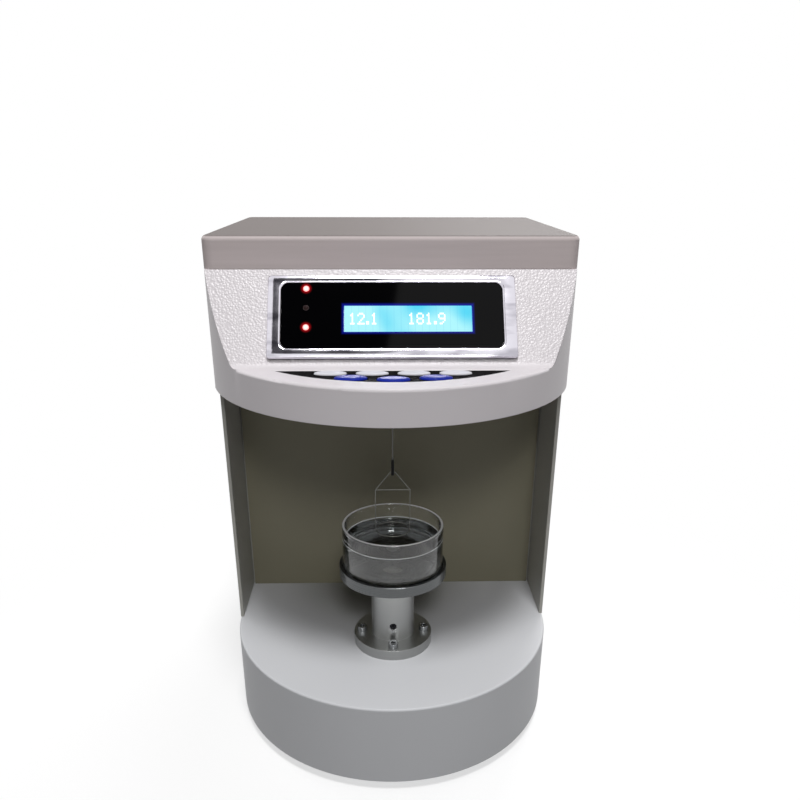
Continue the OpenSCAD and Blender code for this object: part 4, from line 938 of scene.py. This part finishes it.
@dataclass(frozen=True)
class Dressing:
    """How one CAD node is shown.

    Attributes:
        finish: its finish.
        slot: the record's material slot; not used.
        body: body of a refined copy, or empty to dress the node itself.
        edge: rounding of the copy's edges.
        segments: steps of the rounding.
    """

    finish: Finish
    slot: str
    body: str = ""
    edge: float = 0.0
    segments: int = 2

    def show(self, node: str) -> None:
        """Gives the node itself the finish, or puts a refined copy in its place.

        Args:
            node: the CAD node.
        """
        if self.body:
            self.refine(node)
            return
        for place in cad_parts[node].material_slots:
            place.material = self.finish.material()

    def refine(self, node: str) -> None:
        """Copies a CAD node, welds its loose triangles and softens its edges.

        Args:
            node: the CAD node that the copy stands for.
        """
        name = node + "_piece"
        start_clean()
        piece = bpy.data.objects.new(name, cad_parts[node].data.copy())
        bpy.context.collection.objects.link(piece)
        take_up(piece)
        with edit_mode():
            bpy.ops.mesh.remove_doubles(threshold=WELD_DISTANCE * MM)
            bpy.ops.mesh.dissolve_limited(angle_limit=math.radians(FLAT_ANGLE))
        if self.edge > 0:
            apply_modifier(piece, "BEVEL", width=self.edge * MM, segments=self.segments, limit_method="ANGLE",
                           angle_limit=math.radians(CREASE_ANGLE), use_clamp_overlap=True, miter_outer="MITER_ARC")
        settle(piece, name, self.body, self.finish, (node,), CAD_SMOOTH)
        apply_modifier(piece, "WEIGHTED_NORMAL", keep_sharp=True)


def lathed(profile: Sequence[Pair], axis: Pair = STAGE_AXIS, steps: int = 128) -> Object:
    """Turns a closed body by drawing its end disc through a profile of rings.

    Args:
        profile: radius and height of each ring, from the first disc round to the last.
        axis: x and y of the vertical axis.
        steps: corners of a ring.

    Returns:
        The turned body.
    """
    start_clean()
    radius, height = profile[0]
    bpy.ops.mesh.primitive_circle_add(vertices=steps, radius=radius * MM, fill_type="NGON",
                                      location=metres((*axis, height)))
    body = bpy.context.object
    with edit_mode():
        for ring in profile[1:]:
            bpy.ops.mesh.extrude_region_move(TRANSFORM_OT_translate={"value": (0, 0, (ring[1] - height) * MM)})
            scale_to((ring[0] / radius, ring[0] / radius, 1.0), metres((*axis, ring[1])))
            radius, height = ring
    bpy.ops.object.transform_apply(location=True, rotation=True, scale=True)
    return body


def arc(centre: Pair, radius: float, start: float, stop: float, steps: int) -> list[Pair]:
    """Points of an arc in a profile.

    Args:
        centre: radius and height of the arc's centre.
        radius: the arc's radius.
        start: first angle in degrees, from the outward direction.
        stop: last angle.
        steps: number of equal steps.

    Returns:
        The points, both ends included.
    """
    turns = [math.radians(start + (stop - start) * k / steps) for k in range(steps + 1)]
    return [(centre[0] + radius * math.cos(t), centre[1] + radius * math.sin(t)) for t in turns]


def on_panel(across: float = 0.0, up: float = 0.0, out: float = 0.0) -> Matrix:
    """Makes the place of a point on the display panel, with X across, Y up the panel and Z out of it.

    Args:
        across: millimetres to the right of the bezel's middle.
        up: millimetres up the panel.
        out: millimetres out of the panel.

    Returns:
        The place, in metres.
    """
    return (Matrix.Translation(metres(PANEL_MIDDLE)) @ Matrix.Rotation(math.radians(90 - PANEL_LEAN), 4, "X")
            @ Matrix.Translation(metres((across, up, out))))


@dataclass
class SubAssembly(ABC):
    """One part of the instrument that is put together and dressed on its own."""

    @abstractmethod
    def dressings(self) -> dict[str, Dressing]:
        """Returns how each of the part's CAD nodes is shown."""

    def build(self) -> None:
        """Builds the pieces that the CAD nodes don't have. The plain part has none."""

    def put_up(self) -> None:
        """Dresses the part's nodes, then builds its own pieces."""
        LOG.info("part %s", type(self).__name__)
        for node, dressing in self.dressings().items():
            dressing.show(node)
        self.build()


# ---- parts ----


@dataclass
class BaseUnit(SubAssembly):
    """Half-round base: folded casing, bottom plate, feet and their screws."""

    lip: float = 0.3

    def dressings(self) -> dict[str, Dressing]:
        """Returns the finishes of the base."""
        return {"base_casing": Dressing(CASING, "casing_paint", Body.FRAME, self.lip),
                "base_plate": Dressing(ZINC, "steel"),
                "rubber_feet": Dressing(RUBBER, "rubber_black", Body.FRAME, 0.8, 3),
                "base_screws": Dressing(ZINC, "steel")}


@dataclass
class Column(SubAssembly):
    """Column behind the sample bay: two cheeks, the bay's back panel and the rear cover."""

    lip: float = 0.35

    def dressings(self) -> dict[str, Dressing]:
        """Returns the finishes of the column."""
        sheet = Dressing(SHEET, "column_paint", Body.FRAME, self.lip)
        screws = Dressing(BLACK_SCREW, "steel_dark", Body.FRAME, 0.15)
        # The back panel's darker paint is painted shade.
        return {"left_cheek": sheet, "right_cheek": sheet, "column_screws": Dressing(ZINC, "steel"),
                "back_panel": Dressing(BAY_SHADED_PAINT, "column_paint"), "panel_screws": screws,
                "rear_cover": sheet, "cover_screws": screws}


@dataclass
class RearConnectors(SubAssembly):
    """Mains inlet, power switch and data port on the rear cover.

    Attributes:
        pivot: the rocker's pivot.
        tilt: its tilt at rest, in degrees.
        slope: slope of each half of its face, in degrees.
        face: height of the marks above the pivot.
        mark_at: distance of a mark from the middle.
        mark_size: height and thickness of a mark.
    """

    pivot: Point = (12.0, 113.5, 84.5)
    tilt: float = 8.0
    slope: float = 8.3
    face: float = 4.95
    mark_at: float = 3.4
    mark_size: Pair = (3.6, 0.05)

    def dressings(self) -> dict[str, Dressing]:
        """Returns the finishes of the connectors."""
        return {"power_inlet": Dressing(BLACK_PLASTIC, "plastic_black", Body.FRAME, 0.25),
                "switch_body": Dressing(BLACK_PLASTIC, "plastic_black", Body.FRAME, 0.3),
                "switch_rocker": Dressing(BLACK_PLASTIC, "plastic_black", Body.ROCKER, 0.3),
                "serial_port": Dressing(STEEL, "steel", Body.FRAME, 0.15)}

    def build(self) -> None:
        """Prints the plain I and O on the rocker's two halves, with I on the half that is pressed in."""
        outward = Matrix(((-1, 0, 0, 0), (0, 0, 1, 0), (0, 1, 0, 0), (0, 0, 0, 1)))
        rocker = (Matrix.Translation(metres(self.pivot)) @ outward
                  @ Matrix.Rotation(math.radians(self.tilt), 4, "X"))
        for sign, side in (("O", 1), ("I", -1)):
            start_clean()
            bpy.ops.object.text_add()
            mark = bpy.context.object
            mark.data.body = sign
            mark.data.size, mark.data.extrude = metres(self.mark_size)
            mark.data.align_x, mark.data.align_y = "CENTER", "CENTER"
            bpy.ops.object.convert(target="MESH")
            mark.matrix_world = (rocker @ Matrix.Translation(metres((0, side * self.mark_at, self.face)))
                                 @ Matrix.Rotation(math.radians(side * self.slope), 4, "X"))
            settle(mark, "switch_mark_" + sign, Body.ROCKER, PRINT)


@dataclass
class Electronics(SubAssembly):
    """Transformer and main board inside the closed column."""

    def dressings(self) -> dict[str, Dressing]:
        """Returns the finishes of the electronics."""
        return {"transformer": Dressing(CORE, "core_dark"), "main_board": Dressing(BOARD, "board_green"),
                "board_spacers": Dressing(BRASS, "gear_brass")}


@dataclass
class Head(SubAssembly):
    """Head: moulding with its slanted panel and lip, and the lid that lifts off it."""

    def dressings(self) -> dict[str, Dressing]:
        """Returns the finishes of the head."""
        return {"head_shell": Dressing(HEAD_PAINT, "head_paint", Body.FRAME),
                "lid": Dressing(LID_PAINT, "lid_paint", Body.LID)}


@dataclass
class DisplayUnit(SubAssembly):
    """Chrome bezel, black window, backlit display with its figures, and three round lamps.

    Attributes:
        size: width, height and corner radius of the bezel.
        opening: the same of its opening.
        opening_up: how far the opening is above the bezel's middle.
        thickness: thickness of the bezel.
        round_over: rounding of its outer edge.
        display_at: display's middle, across and up.
        lamps: each lamp's middle, across, up and out.
        dot: pitch of the figures' dots, across and up.
        dot_size: size of a dot.
        figures_out: height of the dots' middles above the panel.
        figures: the readings, and where each starts from the display's middle.
    """

    size: Point = (126.0, 45.0, 1.6)
    opening: Point = (112.3, 35.3, 4.0)
    opening_up: float = 0.6
    thickness: float = 2.4
    round_over: float = 1.3
    display_at: Pair = (8.0, -1.2)
    lamps: tuple[Point, ...] = ((-43.5, 15.2, 1.8), (-43.5, 4.7, 1.8), (-43.5, -5.8, 1.8))
    dot: Pair = (0.73, 0.9)
    dot_size: Point = (0.6424, 0.792, 0.12)
    figures_out: float = 1.62
    figures: tuple[tuple[str, float], ...] = (("12.1", -29.6), ("181.9", 0.2))

    def dressings(self) -> dict[str, Dressing]:
        """Returns the finishes of the display."""
        places = [tuple(on_panel(*lamp).translation / MM) for lamp in self.lamps]
        window = BlackAcrylic("window_acrylic", "#020203", 0.05, specular=0.12, lamps=(places[0], places[2]))
        shown = {"display_window": Dressing(window, "window_black"),
                 "lcd_glass": Dressing(DISPLAY, "lcd_blue", Body.FRAME, 0.1),
                 "lcd_module": Dressing(ZINC, "steel"), "display_board": Dressing(BOARD, "board_green")}
        for number, (node, lit) in enumerate((("led_top", True), ("led_middle", False), ("led_bottom", True))):
            lamp = Lamp("lamp_%d" % (number + 1), "#1C0607", 0.3, specular=0.1, centre=places[number], lit=lit)
            shown[node] = Dressing(lamp, "lamp_red", Body.FRAME)
        return shown

    def build(self) -> None:
        """Builds the rounded bezel and the lit figures."""
        self.bezel()
        self.readings()

    @staticmethod
    def outline(size: Point, up: float = 0.0) -> Object:
        """Models a flat rectangle with round corners.

        Args:
            size: width, height and corner radius.
            up: how far its centre is above the origin.

        Returns:
            The rectangle.
        """
        start_clean()
        bpy.ops.mesh.primitive_plane_add(size=1.0)
        with edit_mode():
            scale_to((size[0] * MM, size[1] * MM, 1.0))
            bpy.ops.mesh.bevel(offset=size[2] * MM, segments=8, affect="VERTICES")
            bpy.ops.transform.translate(value=(0, up * MM, 0))
        return bpy.context.object

    def bezel(self) -> None:
        """Extrudes the frame out of the ring between two outlines, then rounds its edges."""
        inner = self.outline(self.opening, self.opening_up)
        piece = self.outline(self.size)
        take_up(piece)
        inner.select_set(True)
        bpy.ops.object.join()
        with edit_mode():
            bpy.ops.mesh.delete(type="ONLY_FACE")
            bpy.ops.mesh.select_all(action="SELECT")
            bpy.ops.mesh.bridge_edge_loops()
            bpy.ops.mesh.select_all(action="SELECT")
            bpy.ops.mesh.extrude_region_move(TRANSFORM_OT_translate={"value": (0, 0, self.thickness * MM)})
            bpy.ops.mesh.select_all(action="SELECT")
            bpy.ops.mesh.normals_make_consistent(inside=False)
        apply_modifier(piece, "BEVEL", width=self.round_over * MM, segments=5, limit_method="ANGLE",
                       angle_limit=math.radians(50), use_clamp_overlap=True)
        piece.matrix_world = on_panel()
        settle(piece, "bezel_rounded", Body.FRAME, CHROME, ("bezel",), 40.0)

    def readings(self) -> None:
        """Sets the two readings out of square dots, as a dot-matrix display draws them."""
        start_clean()
        bpy.ops.mesh.primitive_cube_add(size=1.0)
        dot = bpy.context.object
        with edit_mode():
            scale_to(metres(self.dot_size))
        dots: list[Object] = []
        for text, start in self.figures:
            left = self.display_at[0] + start
            for rows in map(DOT_SIGNS.get, text):
                lit = [(x, y) for y, line in enumerate(rows) for x, mark in enumerate(line) if mark == "#"]
                for x, y in lit:
                    dots.append(own_copy(dot))
                    dots[-1].matrix_world = on_panel(left + x * self.dot[0],
                                                     self.display_at[1] + (3 - y) * self.dot[1], self.figures_out)
                left += (len(rows[0]) + 1) * self.dot[0]
        bpy.data.objects.remove(dot)
        take_up(dots[0])
        for copy in dots:
            copy.select_set(True)
        bpy.ops.object.join()
        settle(dots[0], "display_figures", Body.FRAME, DIGITS)


DOT_SIGNS: dict[str, tuple[str, ...]] = {
    "1": ("..#..", ".##..", "..#..", "..#..", "..#..", "..#..", ".###."),
    "2": (".###.", "#...#", "....#", "...#.", "..#..", ".#...", "#####"),
    "8": (".###.", "#...#", "#...#", ".###.", "#...#", "#...#", ".###."),
    "9": (".###.", "#...#", "#...#", ".####", "....#", "...#.", ".##.."),
    ".": ("..", "..", "..", "..", "..", "##", "##"),
}


@dataclass
class Keypad(SubAssembly):
    """Black crescent plate with four pale keys behind and three blue ones in front.

    Attributes:
        plate_top: height of the plate's upper face.
        width: width of a key.
        depths: depth of a back key and of a front key.
        back_places: x and y of the back keys.
        front_places: x and y of the front keys.
        flange: width, underside and upper side of the flange that keeps a key in.
        dome: steps of the dome, inwards from the key's side and above the plate.
    """

    plate_top: float = 221.4
    width: float = 16.0
    depths: Pair = (7.0, 9.5)
    back_places: tuple[Pair, ...] = ((-30.6, -75.3), (-10.2, -75.3), (10.2, -75.3), (30.6, -75.3))
    front_places: tuple[Pair, ...] = ((-20.4, -84.44), (0.0, -87.05), (20.4, -84.44))
    flange: Point = (0.5, -2.7, -1.7)
    dome: tuple[Pair, ...] = ((0.0, 0.2), (0.15, 0.4), (0.5, 0.6), (1.1, 0.76), (2.0, 0.88), (3.2, 0.95),
                              (4.6, 0.98))

    def dressings(self) -> dict[str, Dressing]:
        """Returns the finishes of the plate and the board under it."""
        return {"keypad_plate": Dressing(KEYPAD, "keypad_black", Body.FRAME, 0.25, 3),
                "key_board": Dressing(BOARD, "board_green")}

    def build(self) -> None:
        """Models one key of each depth, and copies it to the others' places."""
        for group, depth, places, finish, slot in (
                ("back_key", self.depths[0], self.back_places, KEY_WHITE, "key_white"),
                ("front_key", self.depths[1], self.front_places, KEY_BLUE, "key_blue")):
            pattern = self.key(depth)
            for number, place in enumerate(places, 1):
                node = "%s_%d" % (group, number)
                copy = own_copy(pattern)
                copy.location = metres((*place, self.plate_top))
                settle(copy, node + "_cap", node, finish, (node,))
            bpy.data.objects.remove(pattern)

    def key(self, depth: float) -> Object:
        """Models a key at the origin, with its retaining flange below and its dome above.

        Args:
            depth: size of the oval from front to back.

        Returns:
            The key, whose zero height is the plate's upper face.
        """
        half = self.width / 2
        wide, under, over = self.flange
        rings = [(half + wide, under), (half + wide, over), (half, over)] + [(half - r, z) for r, z in self.dome]
        key = lathed(rings, (0.0, 0.0), 48)
        with edit_mode():
            scale_to((1.0, depth / self.width, 1.0))
        return key


@dataclass
class SensorUnit(SubAssembly):
    """Load cell in the head, and the hanger and ring that hang from it."""

    def dressings(self) -> dict[str, Dressing]:
        """Returns the finishes of the sensor."""
        return {**dict.fromkeys(("load_cell", "cell_bracket", "cell_screws"), Dressing(ZINC, "steel")),
                "sensor_fork": Dressing(STEEL, "steel", Body.FRAME, 0.1),
                "hanger": Dressing(HOOK_BLACK, "hook_black", Body.HANGER),
                "ring": Dressing(RING_WIRE_PAINTED_DARK, "ring_metal", Body.RING)}


@dataclass
class LiftStage(SubAssembly):
    """Pedestal with its flange and cap screws, and the rod and tray that it guides."""

    lip: float = 0.3

    def dressings(self) -> dict[str, Dressing]:
        """Returns the finishes of the lift stage."""
        bronze = Dressing(BRONZE, "bush_bronze")
        return {"pedestal": Dressing(FLANGE_METAL, "stage_alu", Body.FRAME, self.lip),
                "flange_screws": Dressing(CAP_SCREW, "steel_dark", Body.FRAME, 0.25),
                "guide_bush": bronze, "guide_pin": Dressing(BLACK_SCREW, "steel_dark"),
                "lift_rod": Dressing(STEEL, "steel", Body.STAGE), "lift_nut": bronze,
                "dish_tray": Dressing(TRAY_SHADED_METAL, "stage_alu", Body.STAGE, self.lip, 3),
                "tray_screw": Dressing(STEEL, "steel", Body.STAGE, 0.1)}


@dataclass
class Sample(SubAssembly):
    """Glass dish with its rolled rim, and the liquid in it.

    Attributes:
        foot: height of the dish's underside.
        radius: outer radius.
        wall: thickness of the glass.
        height: height of the dish.
        bend: outer radius of the bend at the foot.
        flat: radius of the disc that the dish is drawn from.
        level: height of the liquid above the foot.
        gap: how far it reaches into the glass, so that no film of air shows.
        meniscus: steps of its edge, inwards from the glass and above the level.
    """

    foot: float = 104.3
    radius: float = 28.5
    wall: float = 1.6
    height: float = 26.5
    bend: float = 4.0
    flat: float = 18.5
    level: float = 17.0
    gap: float = 0.02
    meniscus: tuple[Pair, ...] = ((0.0, 1.3), (0.25, 0.95), (0.7, 0.55), (1.5, 0.22), (2.8, 0.05), (5.0, 0.0))

    def dressings(self) -> dict[str, Dressing]:
        """Returns nothing, because the dish is modelled anew."""
        return {}

    def build(self) -> None:
        """Turns the dish and the liquid."""
        inner = self.radius - self.wall
        bend = self.bend - self.wall
        lip = self.wall / 2
        glass = [(self.flat, 0.0), *arc((self.radius - self.bend, self.bend), self.bend, -90, 0, 8),
                 *arc((self.radius - lip, self.height - lip), lip, 0, 180, 10),
                 *arc((inner - bend, self.bend), bend, 0, -90, 8), (self.flat, self.wall)]
        wet = inner + self.gap
        liquid = [(self.flat, self.wall - self.gap), *arc((wet - bend, self.bend), bend, -90, 0, 8),
                  *((wet - r, self.level + z) for r, z in self.meniscus)]
        for profile, name, finish, stands_for in ((glass, "dish_lathed", GLASS, ("dish",)),
                                                  (liquid, "liquid", WATER, ())):
            body = lathed([(r, z + self.foot) for r, z in profile])
            settle(body, name, Body.DISH, finish, stands_for, 60.0)


@dataclass
class Drive(SubAssembly):
    """Lead screw, gears and motor in the base."""

    def dressings(self) -> dict[str, Dressing]:
        """Returns the finishes of the drive."""
        return {**dict.fromkeys(("drive_bracket", "stage_motor", "motor_screws"), Dressing(ZINC, "steel")),
                **dict.fromkeys(("lower_bearing", "upper_bearing", "lead_screw"), Dressing(STEEL, "steel")),
                **dict.fromkeys(("driven_gear", "motor_pinion"), Dressing(BRASS, "gear_brass"))}


# ---- studio ----


@dataclass(frozen=True)
class Softbox:
    """One large soft lamp, with lengths in metres.

    Attributes:
        name: the lamp's name.
        place: its centre.
        aim: the point it faces.
        size: its width and height.
        power: its power in watts.
    """

    name: str
    place: Point
    aim: Point
    size: Pair
    power: float

    def put_up(self) -> None:
        """Adds the lamp and turns it to its aim."""
        start_clean()
        bpy.ops.object.light_add(type="AREA", location=self.place)
        lamp = bpy.context.object
        lamp.name = self.name
        lamp.data.shape = "RECTANGLE"
        lamp.data.size, lamp.data.size_y = self.size
        lamp.data.energy = self.power
        lamp.rotation_euler = (Vector(self.aim) - Vector(self.place)).to_track_quat("-Z", "Y").to_euler()


@dataclass(frozen=True)
class Studio:
    """White surroundings, soft lamps and the camera.

    Attributes:
        eye: the camera's place.
        down: its pitch below the horizon, in degrees.
        right: its turn to the right, in degrees.
        roll: its roll, in degrees.
        sensor: width of its sensor.
        focal: focal length over the width of the picture.
        rise: vertical shift over that width.
        ambient: strength of the light from all sides.
        floor_fade: radii in metres between which the floor turns white.
        floor_white: share of white near the object.
        floor_dim: colour of the floor as the object's underside sees it.
        card: middle of the dark card, in metres.
        card_size: its size, in metres.
        card_aim: the point it faces, in metres.
        boxes: the soft lamps.
    """

    eye: Point = (-6.04, -440.14, 313.76)
    down: float = 23.64
    right: float = 1.5
    roll: float = 0.16
    sensor: float = 36.0
    focal: float = 761 / 800
    rise: float = 0.125
    ambient: float = 0.13
    floor_fade: Pair = (0.12, 0.34)
    floor_white: float = 0.55
    floor_dim: str = "#707070"
    card: Point = (-0.2, -1.02, 1.96)
    card_size: Point = (0.46, 0.5, 1.0)
    card_aim: Point = (0.0, -0.05, 0.25)
    boxes: tuple[Softbox, ...] = (
        Softbox("overhead_box", (0.06, -0.66, 2.35), (0.0, -0.05, 0.15), (0.5, 0.5), 38.0),
        Softbox("front_box", (0.1, -1.76, 1.63), (0.0, -0.05, 0.15), (0.5, 0.5), 14.0),
        Softbox("left_box", (-1.2, 0.9, 0.8), (0.0, 0.0, 0.15), (0.6, 0.8), 3.6),
        Softbox("right_box", (1.2, 0.9, 0.8), (0.0, 0.0, 0.15), (0.6, 0.8), 3.6),
        Softbox("back_box", (0.5, 1.5, 1.3), (0.0, 0.1, 0.15), (0.9, 0.9), 14.0),
    )

    def put_up(self) -> None:
        """Adds the world, the floor, the card, the lamps and the camera."""
        self.surround()
        self.floor()
        self.flag()
        for box in self.boxes:
            box.put_up()
        self.camera()
        bpy.context.scene.view_settings.view_transform = "Standard"

    @staticmethod
    def seen(tree: NodeTree) -> Link:
        """Adds a factor that is 1 for what the eye sees, straight, mirrored or through glass.

        Args:
            tree: the tree to add it to.

        Returns:
            Output that gives the factor.
        """
        path = add_node(tree, "LightPath")
        two = add_node(tree, "Math", {"operation": "MAXIMUM"},
                       {"Value": (path, "Is Camera Ray"), "Value_001": (path, "Is Glossy Ray")})
        return add_node(tree, "Math", {"operation": "MAXIMUM"},
                        {"Value": (two, "Value"), "Value_001": (path, "Is Transmission Ray")}), "Value"

    def surround(self) -> None:
        """Makes the world white to the eye and dimmer as a light."""
        world = bpy.data.worlds.new("white_room")
        bpy.context.scene.world = world
        world.use_nodes = True
        tree = world.node_tree
        back = tree.nodes["Background"]
        back.inputs["Color"].default_value = linear("#FFFFFF")
        strength = add_node(tree, "MapRange", {"To Min": self.ambient}, {"Value": self.seen(tree)})
        tree.links.new(strength.outputs["Result"], back.inputs["Strength"])

    def floor(self) -> None:
        """Lays a round pale floor that keeps the shadow near the object and fades to white away from it."""
        start_clean()
        bpy.ops.mesh.primitive_circle_add(vertices=96, radius=3.0, fill_type="NGON", location=(0, 0, 0))
        floor = bpy.context.object
        floor.name = "pale_floor"
        made = new_material("pale_floor", "#F4F4F4", 0.7)
        tree = made.node_tree
        place = add_node(tree, "TexCoord")
        away = add_node(tree, "VectorMath", {"operation": "LENGTH"}, {"Vector": (place, "Object")})
        reach = add_node(tree, "MapRange", {"interpolation_type": "SMOOTHERSTEP", "From Min": self.floor_fade[0],
                                            "From Max": self.floor_fade[1], "To Min": self.floor_white},
                         {"Value": (away, "Value")})
        dim = add_node(tree, "BsdfDiffuse", {"Color": linear(self.floor_dim)})
        white = add_node(tree, "Emission", {"Color": linear("#FFFFFF"), "Strength": 1.0})
        pale = add_node(tree, "MixShader", {}, {"Fac": (reach, "Result"), "Shader_001": (white, "Emission"),
                                                "Shader": (tree.nodes["Principled BSDF"], "BSDF")})
        mixed = add_node(tree, "MixShader", {}, {"Fac": self.seen(tree), "Shader": (dim, "BSDF"),
                                                 "Shader_001": (pale, "Shader")})
        tree.links.new(mixed.outputs["Shader"], tree.nodes["Material Output"].inputs["Surface"])
        floor.data.materials.append(made)

    def flag(self) -> None:
        """Hangs a dark card high in front, which the chrome and the window mirror instead of white."""
        start_clean()
        bpy.ops.mesh.primitive_grid_add(x_subdivisions=4, y_subdivisions=4, size=1.0, location=self.card)
        card = bpy.context.object
        card.name = "dark_card"
        with edit_mode():
            scale_to(self.card_size, self.card)
        card.rotation_euler = (Vector(self.card) - Vector(self.card_aim)).to_track_quat("Z", "Y").to_euler()
        card.visible_camera = False
        card.data.materials.append(new_material("dark_card", "#3A383F"))

    def camera(self) -> None:
        """Sets the camera at the photograph's viewpoint."""
        start_clean()
        bpy.ops.object.camera_add(location=metres(self.eye))
        camera = bpy.context.object
        camera.name = "main_camera"
        turn = (Matrix.Rotation(math.radians(-self.right), 4, "Z")
                @ Matrix.Rotation(math.radians(90 - self.down), 4, "X")
                @ Matrix.Rotation(math.radians(self.roll), 4, "Z"))
        camera.rotation_euler = turn.to_euler()
        camera.data.sensor_width = self.sensor
        camera.data.lens = self.sensor * self.focal
        camera.data.shift_y = self.rise
        camera.data.clip_start = 0.01
        camera.data.dof.use_dof = False
        bpy.context.scene.camera = camera


def main() -> None:
    """Puts up the instrument part by part, then the studio around it."""
    logging.basicConfig(level=logging.INFO, format="%(name)s: %(message)s")
    parts: list[SubAssembly] = [BaseUnit(), Column(), RearConnectors(), Electronics(), Head(), DisplayUnit(),
                                Keypad(), SensorUnit(), LiftStage(), Sample(), Drive()]
    for part in parts:
        part.put_up()
    start_clean()
    Studio().put_up()
    start_clean()


if __name__ == "__main__":
    main()
